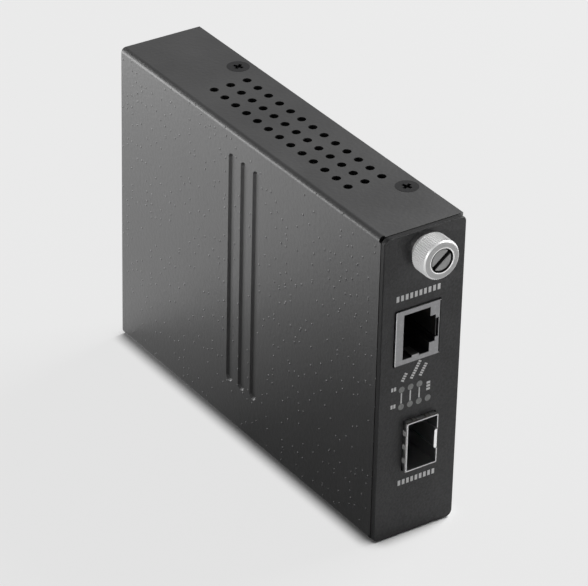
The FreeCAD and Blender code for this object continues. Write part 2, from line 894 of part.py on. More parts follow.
def sfp_host_contacts():
    """Two rows of sprung contacts along the slot, with tails down to the board."""
    front, back = host_span()
    slot_x = board_face - host_slot_rise
    t = host_contact_thickness
    shapes = []
    for side in (-1, 1):
        wall = slot_x + side * host_slot_height / 2
        tail = back + (2 if side < 0 else 1) * (t + fit_gap) - t
        for i in range(host_contact_count):
            z = cage_z + (i - (host_contact_count - 1) / 2) * host_contact_pitch
            beam = block(min(wall, wall - side * t), max(wall, wall - side * t), front + 1.0, tail + t,
                         z - host_contact_width / 2, z + host_contact_width / 2)
            drop = block(min(wall, wall - side * t), board_face, tail, tail + t,
                         z - host_contact_width / 2, z + host_contact_width / 2)
            shapes.append(beam.fuse(drop).removeSplitter())
    return Part.makeCompound(shapes)


def led_holder(z, columns):
    """Moulded block that stands the lamps off the board, with a hole for each."""
    front = plate_back + board_front_gap
    far = lamp_x(0) - holder_cap
    low = z - holder_width / 2
    high = z + holder_width / 2
    shape = prism([(far, low, window_radius), (board_face, low, 0), (board_face, high, 0),
                   (far, high, window_radius)], "xz", front, front + holder_length)
    holes = [rod_y(lamp_radius + fit_gap, front - sheet, lamp_end() + fit_gap, lamp_x(i), z)
             for i in columns]
    return shape.cut(holes)


def lamp_end():
    return front_face + lamp_sink + lamp_length


def lamp(x, z):
    """Lamp with a low domed lens just behind the plate's face."""
    tip = front_face + lamp_sink
    return ring_loft("xz", x, z, [(tip, lamp_radius * 0.8), (tip + lamp_radius / 6, lamp_radius),
                                  (lamp_end(), lamp_radius)])


def power_axis():
    return board_face - power_axis_height, power_z


def dc_jack_body():
    """Power socket: a face block, a round barrel on a foot, and the plug bore."""
    x, z = power_axis()
    face = rear_inner - power_gap
    back = face - power_length
    face_block = prism([
        (board_face - power_face_height, z - power_face_width / 2, 1.5),
        (board_face, z - power_face_width / 2, 0), (board_face, z + power_face_width / 2, 0),
        (board_face - power_face_height, z + power_face_width / 2, 1.5),
    ], "xz", face - power_face_length, face)
    barrel = rod_y(power_barrel_radius, back, face - power_face_length, x, z)
    foot = block(x, board_face, back, face - power_face_length,
                 z - power_barrel_radius, z + power_barrel_radius)
    bore = true_rod_y(power_bore_radius, face - power_bore_depth, face + sheet, x, z)
    leaf_slot = block(x, x + power_bore_radius + power_leaf_bow, face - power_bore_depth,
                      face - power_leaf_thickness * 3,
                      z - power_leaf_width / 2 - fit_gap, z + power_leaf_width / 2 + fit_gap)
    return fused([face_block, barrel, foot]).cut([bore, leaf_slot])


def dc_jack_pin():
    x, z = power_axis()
    back = rear_inner - power_gap - power_bore_depth
    tip = back + power_pin_length
    return ring_loft("xz", x, z, [(back, power_pin_radius), (tip - power_pin_radius / 2, power_pin_radius),
                                  (tip, power_pin_radius / 2)])


def dc_jack_spring():
    """Bowed leaf in the bore's slot that touches the plug's sleeve."""
    x, z = power_axis()
    back = rear_inner - power_gap - power_bore_depth
    front = rear_inner - power_gap - power_leaf_thickness * 3
    outer = x + power_bore_radius + power_leaf_bow
    middle = (back + front) / 2
    t = power_leaf_thickness
    return prism([
        (outer, back, 0), (outer - t, back, 0), (outer - power_leaf_bow - t, middle, 0),
        (outer - t, front, 0), (outer, front, 0), (outer - power_leaf_bow, middle, 0),
    ], "xy", z - power_leaf_width / 2, z + power_leaf_width / 2)


# Parts soldered to the board

def lead_rows(y, z, length, width, count, sides):
    """Bent leads on both ends of a body along Y (sides 'y') or along Z (sides 'z')."""
    shapes = []
    high = board_face - 3 * lead_thickness
    for out in (-1, 1):
        for i in range(count):
            shift = (i - (count - 1) / 2) * lead_pitch
            if sides == "y":
                edge = y + out * length / 2
                points = lead_points(edge, out, high)
                shapes.append(prism([(a, b, 0) for a, b in points], "xy",
                                    z + shift - lead_width / 2, z + shift + lead_width / 2))
            else:
                edge = z + out * width / 2
                points = lead_points(edge, out, high)
                shapes.append(prism([(a, b, 0) for a, b in points], "xz",
                                    y + shift - lead_width / 2, y + shift + lead_width / 2))
    return shapes


def lead_points(edge, out, high):
    """Section of one lead: shoulder at the body, thin foot on the board."""
    knee = edge + out * lead_reach / 2
    toe = edge + out * lead_reach
    return [(high, edge), (board_face - lead_thickness, toe), (board_face, toe),
            (board_face, knee), (high + lead_thickness, edge)]


def chip_middle():
    return jack_back + chip_from_jack + chip_size / 2, jack_z


def transformer_middle():
    return jack_back + transformer_from_jack + transformer_length / 2, jack_z


def memory_middle():
    y, z = chip_middle()
    return y, z - chip_size / 2 - memory_from_chip - memory_width / 2


def regulator_middle():
    return rear_inner - regulator_from_rear, power_z + inductor_above_power


def package(y, z, length, width, height, lift):
    """Moulded package with bevelled upper edges, a little off the board."""
    low = board_face - lift
    waist = low - height / 2
    inset = height / 8
    sections = []
    for x, shrink in ((low, inset), (waist, 0), (low - height, inset)):
        corners = rounded(y - length / 2 + shrink, y + length / 2 - shrink,
                          z - width / 2 + shrink, z + width / 2 - shrink, 0)
        sections.append([FreeCAD.Vector(x, a, b) for a, b, _ in corners])
    return flat_faced(bands(sections) + [sections[0], sections[-1]])


def main_chip():
    y, z = chip_middle()
    return package(y, z, chip_size, chip_size, chip_height, fit_gap)


def lan_transformer():
    y, z = transformer_middle()
    return package(y, z, transformer_length, transformer_width, transformer_height, fit_gap)


def memory_chip():
    y, z = memory_middle()
    return package(y, z, memory_length, memory_width, memory_height, fit_gap)


def voltage_regulator():
    y, z = regulator_middle()
    return package(y, z, regulator_length, regulator_width, regulator_height, fit_gap)


def component_leads():
    """All bent leads: four sides of the main chip, two of each other package."""
    chip_count = int((chip_size - 2 * lead_pitch) / lead_pitch)
    y, z = chip_middle()
    shapes = lead_rows(y, z, chip_size, chip_size, chip_count, "y")
    shapes += lead_rows(y, z, chip_size, chip_size, chip_count, "z")
    y, z = transformer_middle()
    shapes += lead_rows(y, z, transformer_length, transformer_width, 8, "y")
    y, z = memory_middle()
    shapes += lead_rows(y, z, memory_length, memory_width, 4, "y")
    y, z = regulator_middle()
    shapes += lead_rows(y, z, regulator_length, regulator_width, 3, "y")
    return Part.makeCompound(shapes)


def crystal():
    """Metal can with round ends on a thin base."""
    y, z = memory_middle()
    start = y + memory_length / 2 + crystal_from_memory
    end = start + crystal_length
    low = z - crystal_width / 2
    high = z + crystal_width / 2
    rim = crystal_height / 8
    can = prism(long_ring(start, end, low, high), "yz", board_face - crystal_height, board_face)
    base = prism(long_ring(start - rim, end + rim, low - rim, high + rim), "yz",
                 board_face - rim, board_face)
    return can.fuse(base)


def power_inductor():
    """Shielded inductor: a square ferrite with cut corners and a round core."""
    y = rear_inner - inductor_from_rear
    z = power_z + inductor_above_power
    half = inductor_size / 2
    cut = inductor_size / 5
    shape = prism([
        (y - half, z - half + cut, 0), (y - half + cut, z - half, 0), (y + half - cut, z - half, 0),
        (y + half, z - half + cut, 0), (y + half, z + half - cut, 0), (y + half - cut, z + half, 0),
        (y - half + cut, z + half, 0), (y - half, z + half - cut, 0),
    ], "yz", board_face - inductor_height, board_face)
    groove = rod_x(inductor_size * 0.42, board_face - inductor_height - sheet,
                   board_face - inductor_height * 0.9, y, z)
    core = rod_x(inductor_size * 0.3, board_face - inductor_height,
                 board_face - inductor_height * 0.9, y, z)
    return shape.cut(groove).fuse(core).removeSplitter()


def capacitor(y):
    """Round can on a square moulded base with two cut corners."""
    z = power_z + capacitor_above_power
    half = capacitor_base / 2
    foot = capacitor_height / 6
    base = prism([
        (y - half, z - half, 0), (y + half, z - half, 0), (y + half, z + half / 2, 0),
        (y + half / 2, z + half, 0), (y - half / 2, z + half, 0), (y - half, z + half / 2, 0),
    ], "yz", board_face - foot, board_face)
    crown = board_face - capacitor_height
    can = ring_loft("yz", y, z, [(crown, capacitor_radius - foot / 3),
                                 (crown + foot / 3, capacitor_radius),
                                 (board_face - foot, capacitor_radius)], large_sides)
    return can.fuse(base)


def capacitors():
    first = rear_inner - capacitor_from_rear
    return [capacitor(first), capacitor(first - capacitor_pitch)]


# Thumbscrew

knob_front = front_face - knob_stand_out
knob_rear = knob_front + knob_length
recess_floor = knob_front + knob_recess_depth
knob_bore_end = recess_floor + knob_web
ferrule_flange_front = front_face - ferrule_flange_height
ferrule_front = knob_bore_end + ferrule_lip
thumbscrew_travel = thumbscrew_turns * thumbscrew_pitch
thread_front = ferrule_front + ferrule_lip + thumbscrew_travel
thread_back = nut_back + thread_past_nut


def thumbscrew_ferrule():
    """Bush in the plate: flange in front, tube into the knob, lip that holds the thread back."""
    bore = thread_radius + 3 * running_gap
    neck_hole = neck_radius + running_gap
    return turned([
        (neck_hole, ferrule_front), (ferrule_tube_radius, ferrule_front),
        (ferrule_tube_radius, ferrule_flange_front), (ferrule_flange_radius, ferrule_flange_front),
        (ferrule_flange_radius, front_face), (ferrule_barrel_radius, front_face),
        (ferrule_barrel_radius, plate_back), (bore, plate_back),
        (bore, ferrule_front + ferrule_lip), (neck_hole, ferrule_front + ferrule_lip),
    ], thumbscrew_x, thumbscrew_z, True)


def thumbscrew_spring():
    """Coil between the ferrule's flange and the knob's web."""
    start = ferrule_flange_front - spring_wire_radius - fit_gap
    end = knob_bore_end + spring_wire_radius + fit_gap
    middle = (ferrule_tube_radius + knob_bore_radius) / 2
    steps = spring_turns * small_sides
    sections = []
    for i in range(steps + 1):
        angle = 2 * math.pi * i / small_sides
        y = start + (end - start) * i / steps
        corners = []
        for radius, shift in ((middle - spring_wire_radius, 0), (middle, spring_wire_radius),
                              (middle + spring_wire_radius, 0), (middle, -spring_wire_radius)):
            corners.append(FreeCAD.Vector(thumbscrew_x + radius * math.cos(angle), y + shift,
                                          thumbscrew_z + radius * math.sin(angle)))
        sections.append(corners)
    triangles = [sections[0][:3], [sections[0][0], sections[0][2], sections[0][3]],
                 sections[-1][:3], [sections[-1][0], sections[-1][2], sections[-1][3]]]
    for near, far in zip(sections, sections[1:]):
        for j in range(4):
            k = (j + 1) % 4
            triangles += [[near[j], near[k], far[k]], [near[j], far[k], far[j]]]
    return flat_faced(triangles)


def thumbscrew_knob():
    """Knob to be knurled, hollow behind for the spring, with a recess in front."""
    return turned([
        (neck_radius + fit_gap, recess_floor), (knob_recess_radius, recess_floor),
        (knob_recess_radius, knob_front), (knob_radius - knob_edge, knob_front),
        (knob_radius, knob_front + knob_edge), (knob_radius, knob_rear - knob_edge),
        (knob_radius - knob_edge, knob_rear), (knob_bore_radius, knob_rear),
        (knob_bore_radius, knob_bore_end), (neck_radius + fit_gap, knob_bore_end),
    ], thumbscrew_x, thumbscrew_z, True, knob_sides)


def thumbscrew_stud():
    """Slotted screw: head in the knob's recess, neck through the ferrule, thread in the nut."""
    head_front = recess_floor - stud_head_height
    point = thread_radius / 3
    shape = turned([
        (stud_head_radius, head_front), (stud_head_radius, recess_floor),
        (neck_radius, recess_floor), (neck_radius, thread_front), (thread_radius, thread_front),
        (thread_radius, thread_back - point), (thread_radius - point, thread_back),
    ], thumbscrew_x, thumbscrew_z, False)
    slot = block(-stud_slot_width / 2, stud_slot_width / 2, head_front - sheet,
                 head_front + stud_slot_depth, -stud_head_radius - sheet, stud_head_radius + sheet)
    slot.rotate(FreeCAD.Vector(0, 0, 0), FreeCAD.Vector(0, 1, 0), 45)
    slot.translate(FreeCAD.Vector(thumbscrew_x, 0, thumbscrew_z))
    return shape.cut(slot)


def build():
    """Every piece by its name."""
    front_guide, rear_guide = guide_starts()
    upper, lower = lamp_places()
    heights = bracket_heights()
    rear_capacitor, front_capacitor = capacitors()
    parts = {
        "cover": cover(),
        "base_tray": base_tray(),
        "cover_screws": cover_screws(),
        "latch_bracket": latch_bracket(),
        "clinch_nut": clinch_nut(),
        "guide_front_upper": card_guide(front_guide, True),
        "guide_front_lower": card_guide(front_guide, False),
        "guide_rear_upper": card_guide(rear_guide, True),
        "guide_rear_lower": card_guide(rear_guide, False),
        "front_plate": front_plate(),
        "circuit_board": circuit_board(),
        "board_bracket_upper": board_bracket(heights["upper"]),
        "board_bracket_lower": board_bracket(heights["lower"]),
        "board_screws": board_screws(),
        "rj45_shield": rj45_shield(),
        "rj45_housing": rj45_housing(),
        "rj45_contacts": rj45_contacts(),
        "sfp_cage": sfp_cage(),
        "sfp_emi_springs": sfp_emi_springs(),
        "sfp_host_housing": sfp_host_housing(),
        "sfp_host_contacts": sfp_host_contacts(),
        "led_holder_upper": led_holder(upper[0][1], range(upper_lamp_count)),
        "led_holder_lower": led_holder(lower[0][1], range(lamp_columns)),
        "dc_jack_body": dc_jack_body(),
        "dc_jack_pin": dc_jack_pin(),
        "dc_jack_spring": dc_jack_spring(),
        "main_chip": main_chip(),
        "lan_transformer": lan_transformer(),
        "memory_chip": memory_chip(),
        "voltage_regulator": voltage_regulator(),
        "component_leads": component_leads(),
        "crystal": crystal(),
        "power_inductor": power_inductor(),
        "capacitor_rear": rear_capacitor,
        "capacitor_front": front_capacitor,
        "thumbscrew_ferrule": thumbscrew_ferrule(),
        "thumbscrew_spring": thumbscrew_spring(),
        "thumbscrew_knob": thumbscrew_knob(),
        "thumbscrew_stud": thumbscrew_stud(),
    }
    for i, (x, z) in enumerate(upper):
        parts["lamp_upper_%d" % (i + 1)] = lamp(x, z)
    for i, (x, z) in enumerate(lower):
        parts["lamp_lower_%d" % (i + 1)] = lamp(x, z)
    return parts


os.makedirs("parts", exist_ok=True)
for name, shape in build().items():
    shape.exportStep("parts/%s.step" % name)
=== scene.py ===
import bpy
import bmesh
import json
import math
from mathutils import Matrix, Vector


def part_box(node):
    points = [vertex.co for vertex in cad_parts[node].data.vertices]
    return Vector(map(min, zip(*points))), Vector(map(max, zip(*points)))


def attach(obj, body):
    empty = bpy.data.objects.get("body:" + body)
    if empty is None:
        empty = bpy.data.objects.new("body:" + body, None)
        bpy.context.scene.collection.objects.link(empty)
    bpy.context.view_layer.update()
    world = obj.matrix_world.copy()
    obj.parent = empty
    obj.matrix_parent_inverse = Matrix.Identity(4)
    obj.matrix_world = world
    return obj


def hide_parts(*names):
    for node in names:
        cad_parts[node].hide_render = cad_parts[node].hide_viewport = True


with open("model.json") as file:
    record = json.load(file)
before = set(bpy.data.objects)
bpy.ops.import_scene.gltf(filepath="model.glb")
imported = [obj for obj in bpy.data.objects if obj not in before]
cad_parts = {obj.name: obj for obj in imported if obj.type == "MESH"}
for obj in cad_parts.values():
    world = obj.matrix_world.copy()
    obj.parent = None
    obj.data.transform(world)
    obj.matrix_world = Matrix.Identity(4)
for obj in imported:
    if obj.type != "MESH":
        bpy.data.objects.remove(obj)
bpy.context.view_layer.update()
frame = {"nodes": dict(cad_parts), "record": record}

MM = 0.001

# Camera, fitted to the photograph's corners, with its turn, height and roll in degrees
LOOK_AT = Vector((0, 0, 44)) * MM
CAMERA_TURN = -34.532
CAMERA_HEIGHT = 30.558
CAMERA_ROLL = 1.348
CAMERA_RIGHT = 2.627 * MM
CAMERA_DOWN = 3.964 * MM
CAMERA_DISTANCE = 930.43 * MM
FOCAL_PIXELS = 3580.4
PHOTO_WIDTH = 588
SENSOR_WIDTH = 36

# Studio
BACKGROUND = 0.807
FLOOR_COLOUR = (0.8, 0.8, 0.8)
FLOOR_REACH = 6.0
FLOOR_DROP = 0.1 * MM
WORLD_STRENGTH = 0.05
LAMP_TARGET = (0, 0, 0.044)
KNOB_LAMP_TARGET = (0, -0.0645, 0.083)

# Shares of the plain background in the floor and the world, as seen by the camera or mirrored
FLOOR_EVENNESS = 0.94
CONTACT_SHADOW_REACH = 5 * MM
CONTACT_SHADOW_FROM_TO = (0.5, 0.95)
FLOOR_MIRRORED_FRONT = 0.02
FLOOR_MIRRORED_REAR = 0.55
FLOOR_MIRRORED_FROM_TO = (0, 80 * MM)
WORLD_EVENNESS_MIRRORED = 0.3

# A finish goes from its dark to its light colour while its group's tone goes from low to high
TONE_LOW = 0.35
TONE_HIGH = 0.65

# Planes past which the front plate's left edge gets a painted highlight and its top edge painted shade
PLATE_HIGHLIGHT_LEFT = -12.1 * MM
PLATE_SHADE_TOP = 87.8 * MM

# Cover screws
SCREW_SIDES = 48
SCREW_NODE_RADIUS = 2.9 * MM
SCREW_HEAD_RADIUS = 3.06 * MM
SCREW_HEAD_HEIGHT = 0.98 * MM
SCREW_SHANK_RADIUS = 1.45 * MM
SCREW_STAND_OUT = 0.02 * MM
SCREW_PAST_LUG = 1.15 * MM
LUG_THICKNESS = 1.0 * MM
RECESS_WIDTH = 0.95 * MM
RECESS_REACH = 2.8 * MM
RECESS_DEPTH = 0.8 * MM

# Thumbscrew, with the slot's turn in degrees
KNURL_RIBS = 60
KNURL_HEIGHT = 0.2 * MM
KNURL_MARGIN = 0.55 * MM
KNOB_SIDES = 96
STUD_SIDES = 64
THREAD_PITCH = 0.5 * MM
THREAD_DEPTH = 0.16 * MM
STUD_HEAD_RADIUS = 2.95 * MM
STUD_HEAD_HEIGHT = 0.9 * MM
STUD_RIM_WIDTH = 0.2 * MM
STUD_RIM_HEIGHT = 0.15 * MM
STUD_NECK_RADIUS = 1.2 * MM
STUD_THREAD_RADIUS = 1.5 * MM
STUD_THREAD_LENGTH = 4.5 * MM
STUD_SLOT_WIDTH = 1.3 * MM
STUD_SLOT_TURN = 38
STUD_SLOT_DEPTH = 0.75 * MM

# Print on the front plate, with the lines in millimetres and the slant in degrees
INK_THICKNESS = 0.02 * MM
LAMP_LINE_WIDTH = 0.38
LAMP_LINE_GAPS = 0.25
SLANT = 60

# Lamp lenses
LENS_RADIUS = 0.88 * MM
LENS_THICKNESS = 0.2 * MM
LENS_STAND_OUT = 0.02 * MM
LENS_SIDES = 28
UPPER_LAMPS = ["lamp_upper_%d" % i for i in (1, 2, 3)]
LOWER_LAMPS = ["lamp_lower_%d" % i for i in (1, 2, 3, 4)]

# Solder on the circuit board
SOLDER_SIDES = 10
SOLDER_RADIUS = 0.75 * MM
SOLDER_HEIGHT = 0.6 * MM
SOLDER_TIP_SHARE = 0.35


# Shader helpers

def new_material(name):
    """Empty material with a Principled shader, as (material, nodes, links, shader)."""
    material = bpy.data.materials.new(name)
    material.use_nodes = True
    nodes = material.node_tree.nodes
    return material, nodes, material.node_tree.links, nodes["Principled BSDF"]


def new_group(name, inputs, outputs):
    """Shader node group with float inputs {name: default} (Vector first) and outputs {name: type}."""
    group = bpy.data.node_groups.new(name, "ShaderNodeTree")
    group.interface.new_socket("Vector", in_out="INPUT", socket_type="NodeSocketVector")
    for label, value in inputs.items():
        socket = group.interface.new_socket(label, in_out="INPUT", socket_type="NodeSocketFloat")
        socket.default_value = value
    for label, kind in outputs.items():
        group.interface.new_socket(label, in_out="OUTPUT", socket_type="NodeSocket" + kind)
    start = group.nodes.new("NodeGroupInput")
    end = group.nodes.new("NodeGroupOutput")
    return group, start, end


def feed(tree, socket, value):
    """Gives an input a number, or links another node's output to it."""
    if isinstance(value, (int, float)):
        socket.default_value = value
    else:
        tree.links.new(value, socket)


def maths(tree, operation, first, second=0):
    """Result of a math node whose inputs are outputs of other nodes or numbers."""
    node = tree.nodes.new("ShaderNodeMath")
    node.operation = operation
    feed(tree, node.inputs[0], first)
    feed(tree, node.inputs[1], second)
    return node.outputs[0]


def split(tree, vector):
    """The X, Y and Z of a vector."""
    node = tree.nodes.new("ShaderNodeSeparateXYZ")
    tree.links.new(vector, node.inputs["Vector"])
    return node.outputs


def noise(tree, vector, scale, detail=2.0, roughness=0.5):
    """Noise value of a vector at a scale."""
    node = tree.nodes.new("ShaderNodeTexNoise")
    node.inputs["Detail"].default_value = detail
    node.inputs["Roughness"].default_value = roughness
    tree.links.new(vector, node.inputs["Vector"])
    tree.links.new(scale, node.inputs["Scale"])
    return node.outputs["Fac"]


def ramp(tree, value, low, high, from_low=0.0, from_high=1.0):
    """Value brought from one range to another, clamped."""
    node = tree.nodes.new("ShaderNodeMapRange")
    tree.links.new(value, node.inputs["Value"])
    feed(tree, node.inputs["From Min"], from_low)
    feed(tree, node.inputs["From Max"], from_high)
    feed(tree, node.inputs["To Min"], low)
    feed(tree, node.inputs["To Max"], high)
    return node.outputs["Result"]


def blend_colour(tree, factor, dark, light):
    """Colour between two plain colours."""
    node = tree.nodes.new("ShaderNodeMix")
    node.data_type = "RGBA"
    node.inputs[6].default_value = (*dark, 1)
    node.inputs[7].default_value = (*light, 1)
    tree.links.new(factor, node.inputs[0])
    return node.outputs[2]


def panel_cells(group, parts, scale, distance="EUCLIDEAN"):
    """Irregular cells over Y and Z, as each one's distance from its middle and its random colour."""
    flat = group.nodes.new("ShaderNodeCombineXYZ")
    group.links.new(parts["Y"], flat.inputs["X"])
    group.links.new(parts["Z"], flat.inputs["Y"])
    cells = group.nodes.new("ShaderNodeTexVoronoi")
    cells.voronoi_dimensions = "2D"
    cells.distance = distance
    group.links.new(flat.outputs["Vector"], cells.inputs["Vector"])
    group.links.new(scale, cells.inputs["Scale"])
    colour = group.nodes.new("ShaderNodeSeparateColor")
    group.links.new(cells.outputs["Color"], colour.inputs["Color"])
    return cells.outputs["Distance"], colour.outputs


def powder_group():
    """Orange peel of powder coat, with a few raised specks on the upright panels."""
    group, start, end = new_group("powder_coat_surface", {
        "Peel Size": 900.0, "Peel Depth": 0.24, "Speck Size": 420.0, "Speck Amount": 0.3,
        "Speck Top": 0.02, "Speck Foot": 0.14, "Panel Reach": 0.0121, "Cloud Size": 60.0,
    }, {"Height": "Float", "Tone": "Float"})
    peel = noise(group, start.outputs["Vector"], start.outputs["Peel Size"], 1.5)
    parts = split(group, start.outputs["Vector"])
    distance, colour = panel_cells(group, parts, start.outputs["Speck Size"])
    near = ramp(group, distance, 1.0, 0.0, start.outputs["Speck Top"], start.outputs["Speck Foot"])
    rare = maths(group, "LESS_THAN", colour["Red"], start.outputs["Speck Amount"])
    outward = maths(group, "ABSOLUTE", parts["X"])
    on_panel = maths(group, "GREATER_THAN", outward, start.outputs["Panel Reach"])
    speck = maths(group, "MULTIPLY", maths(group, "MULTIPLY", near, rare), on_panel)
    height = maths(group, "ADD", maths(group, "MULTIPLY", peel, start.outputs["Peel Depth"]), speck)
    tone = noise(group, start.outputs["Vector"], start.outputs["Cloud Size"], 3.0)
    group.links.new(height, end.inputs["Height"])
    group.links.new(tone, end.inputs["Tone"])
    return group


def grain_group():
    """Fine even grain with a slow change of tone, a painted highlight on the left edge and painted shade
    on the top edge.
    """
    group, start, end = new_group("fine_grain_with_painted_edges", {
        "Grain Size": 2500.0, "Cloud Size": 90.0, "Left Edge": -1.0, "Left Highlight": 0.3,
        "Top Edge": 1.0, "Top Shade": 0.3,
    }, {"Height": "Float", "Tone": "Float"})
    fine = noise(group, start.outputs["Vector"], start.outputs["Grain Size"], 2.0, 0.6)
    slow = noise(group, start.outputs["Vector"], start.outputs["Cloud Size"], 3.0)
    group.links.new(fine, end.inputs["Height"])
    tone = maths(group, "ADD", maths(group, "MULTIPLY", fine, 0.6), maths(group, "MULTIPLY", slow, 0.4))
    parts = split(group, start.outputs["Vector"])
    # Painted highlight: lighter past the left plane; painted shade: darker past the top plane
    left = maths(group, "LESS_THAN", parts["X"], start.outputs["Left Edge"])
    top = maths(group, "GREATER_THAN", parts["Z"], start.outputs["Top Edge"])
    tone = maths(group, "ADD", tone, maths(group, "MULTIPLY", left, start.outputs["Left Highlight"]))
    tone = maths(group, "SUBTRACT", tone, maths(group, "MULTIPLY", top, start.outputs["Top Shade"]))
    group.links.new(tone, end.inputs["Tone"])
    return group


def brushed_group():
    """Fine lines along one axis, from noise stretched by the mapping of the material."""
    group, start, end = new_group("drawn_metal", {
        "Line Size": 1500.0, "Cloud Size": 160.0,
    }, {"Height": "Float", "Tone": "Float"})
    lines = noise(group, start.outputs["Vector"], start.outputs["Line Size"], 3.0, 0.65)
    cloud = noise(group, start.outputs["Vector"], start.outputs["Cloud Size"], 2.0)
    group.links.new(lines, end.inputs["Height"])
    tone = maths(group, "ADD", maths(group, "MULTIPLY", lines, 0.5), maths(group, "MULTIPLY", cloud, 0.5))
    group.links.new(tone, end.inputs["Tone"])
    return group


def turned_group():
    """Thumbscrew metal: ring marks, with painted light by zone: painted shade in the gap round the head
    and in the slot, a painted highlight on the recess rim, and a greyer face and lighter flank as shaded
    and lit copies of one metal.
    """
    group, start, end = new_group("turned_metal_with_painted_light", {
        "Axis Height": 0.0823, "Gap Inner": 0.0029, "Gap Outer": 0.0033, "Rim Outer": 0.0036,
        "Shoulder": 0.0049, "Head Tone": 0.3, "Rim Highlight Tone": 1.0, "Face Shaded Tone": 0.42, "Flank Lit Tone": 0.95,
        "Slot Front": -0.06712, "Ring Size": 2500.0,
    }, {"Height": "Float", "Tone": "Float"})
    parts = split(group, start.outputs["Vector"])
    up = maths(group, "SUBTRACT", parts["Z"], start.outputs["Axis Height"])
    square = maths(group, "ADD", maths(group, "MULTIPLY", parts["X"], parts["X"]),
                   maths(group, "MULTIPLY", up, up))
    radius = maths(group, "SQRT", square)

    def beyond(label):
        """One outside the radius of the named edge, else zero."""
        return maths(group, "GREATER_THAN", radius, start.outputs[label])

    # Painted shade: the slot, deeper than its front, is made black
    deep = maths(group, "GREATER_THAN", parts["Y"], start.outputs["Slot Front"])
    lit = maths(group, "SUBTRACT", 1.0, deep)
    tone = maths(group, "MULTIPLY", start.outputs["Head Tone"], lit)
    # Out from the axis: painted shade in the gap round the head, a painted highlight on the recess rim,
    # then the face and flank as shaded and lit copies of one metal
    for edge, label in (("Gap Inner", None), ("Gap Outer", "Rim Highlight Tone"), ("Rim Outer", "Face Shaded Tone"),
                        ("Shoulder", "Flank Lit Tone")):
        mix = group.nodes.new("ShaderNodeMix")
        group.links.new(beyond(edge), mix.inputs[0])
        group.links.new(tone, mix.inputs[2])
        if label:
            group.links.new(start.outputs[label], mix.inputs[3])
        else:
            mix.inputs[3].default_value = 0.0
        tone = mix.outputs[0]
    ring = group.nodes.new("ShaderNodeCombineXYZ")
    group.links.new(radius, ring.inputs["X"])
    marks = noise(group, ring.outputs["Vector"], start.outputs["Ring Size"], 2.0)
    group.links.new(marks, end.inputs["Height"])
    worn = maths(group, "MULTIPLY", tone, ramp(group, marks, 0.86, 1.0, 0.3, 0.7))
    group.links.new(ramp(group, worn, TONE_LOW, TONE_HIGH), end.inputs["Tone"])
    return group


def edged_group():
    """Drawn metal with a painted highlight outside two X planes, between two heights."""
    group, start, end = new_group("metal_with_painted_edge_highlight", {
        "Low Edge": -1.0, "High Edge": 1.0, "From Height": -1.0, "To Height": 1.0,
        "Line Size": 1500.0, "Plain Tone": 0.3, "Edge Highlight Tone": 0.25, "Line Tone": 0.1,
    }, {"Height": "Float", "Tone": "Float"})
    parts = split(group, start.outputs["Vector"])
    left = maths(group, "LESS_THAN", parts["X"], start.outputs["Low Edge"])
    right = maths(group, "GREATER_THAN", parts["X"], start.outputs["High Edge"])
    above = maths(group, "GREATER_THAN", parts["Z"], start.outputs["From Height"])
    below = maths(group, "LESS_THAN", parts["Z"], start.outputs["To Height"])
    # Painted highlight: the band outside the X planes, between the heights, is made lighter
    edge = maths(group, "MULTIPLY", maths(group, "MAXIMUM", left, right),
                 maths(group, "MULTIPLY", above, below))
    lines = noise(group, start.outputs["Vector"], start.outputs["Line Size"], 3.0, 0.65)
    group.links.new(lines, end.inputs["Height"])
    tone = maths(group, "ADD", maths(group, "MULTIPLY", edge, start.outputs["Edge Highlight Tone"]),
                 maths(group, "MULTIPLY", lines, start.outputs["Line Tone"]))
    group.links.new(maths(group, "ADD", tone, start.outputs["Plain Tone"]), end.inputs["Tone"])
    return group


def track_group():
    """Patches of parallel copper tracks along Y or Z, with bare patches between them."""
    group, start, end = new_group("copper_tracks", {
        "Patch Size": 110.0, "Tracks": 1000.0, "Track Share": 0.4, "Bare Share": 0.4,
    }, {"Height": "Float", "Tone": "Float"})
    parts = split(group, start.outputs["Vector"])
    colour = panel_cells(group, parts, start.outputs["Patch Size"], "CHEBYCHEV")[1]
    lines = []
    for side in ("Y", "Z"):
        place = maths(group, "MULTIPLY", parts[side], start.outputs["Tracks"])
        part = maths(group, "FRACT", place)
        lines.append(maths(group, "LESS_THAN", part, start.outputs["Track Share"]))
    pick = group.nodes.new("ShaderNodeMix")
    group.links.new(maths(group, "GREATER_THAN", colour["Red"], 0.5), pick.inputs[0])
    group.links.new(lines[0], pick.inputs[2])
    group.links.new(lines[1], pick.inputs[3])
    covered = maths(group, "GREATER_THAN", colour["Green"], start.outputs["Bare Share"])
    track = maths(group, "MULTIPLY", pick.outputs[0], covered)
    group.links.new(track, end.inputs["Height"])
    group.links.new(ramp(group, track, TONE_LOW, TONE_HIGH), end.inputs["Tone"])
    return group


GROUPS = {"powder": powder_group(), "grain": grain_group(), "brushed": brushed_group(),
          "turned": turned_group(), "edged": edged_group(), "tracks": track_group()}


def object_vector(nodes, links, stretch=(1, 1, 1)):
    """Object coordinates, stretched along the axes."""
    place = nodes.new("ShaderNodeTexCoord")
    mapping = nodes.new("ShaderNodeMapping")
    mapping.inputs["Scale"].default_value = stretch
    links.new(place.outputs["Object"], mapping.inputs["Vector"])
    return mapping.outputs["Vector"]


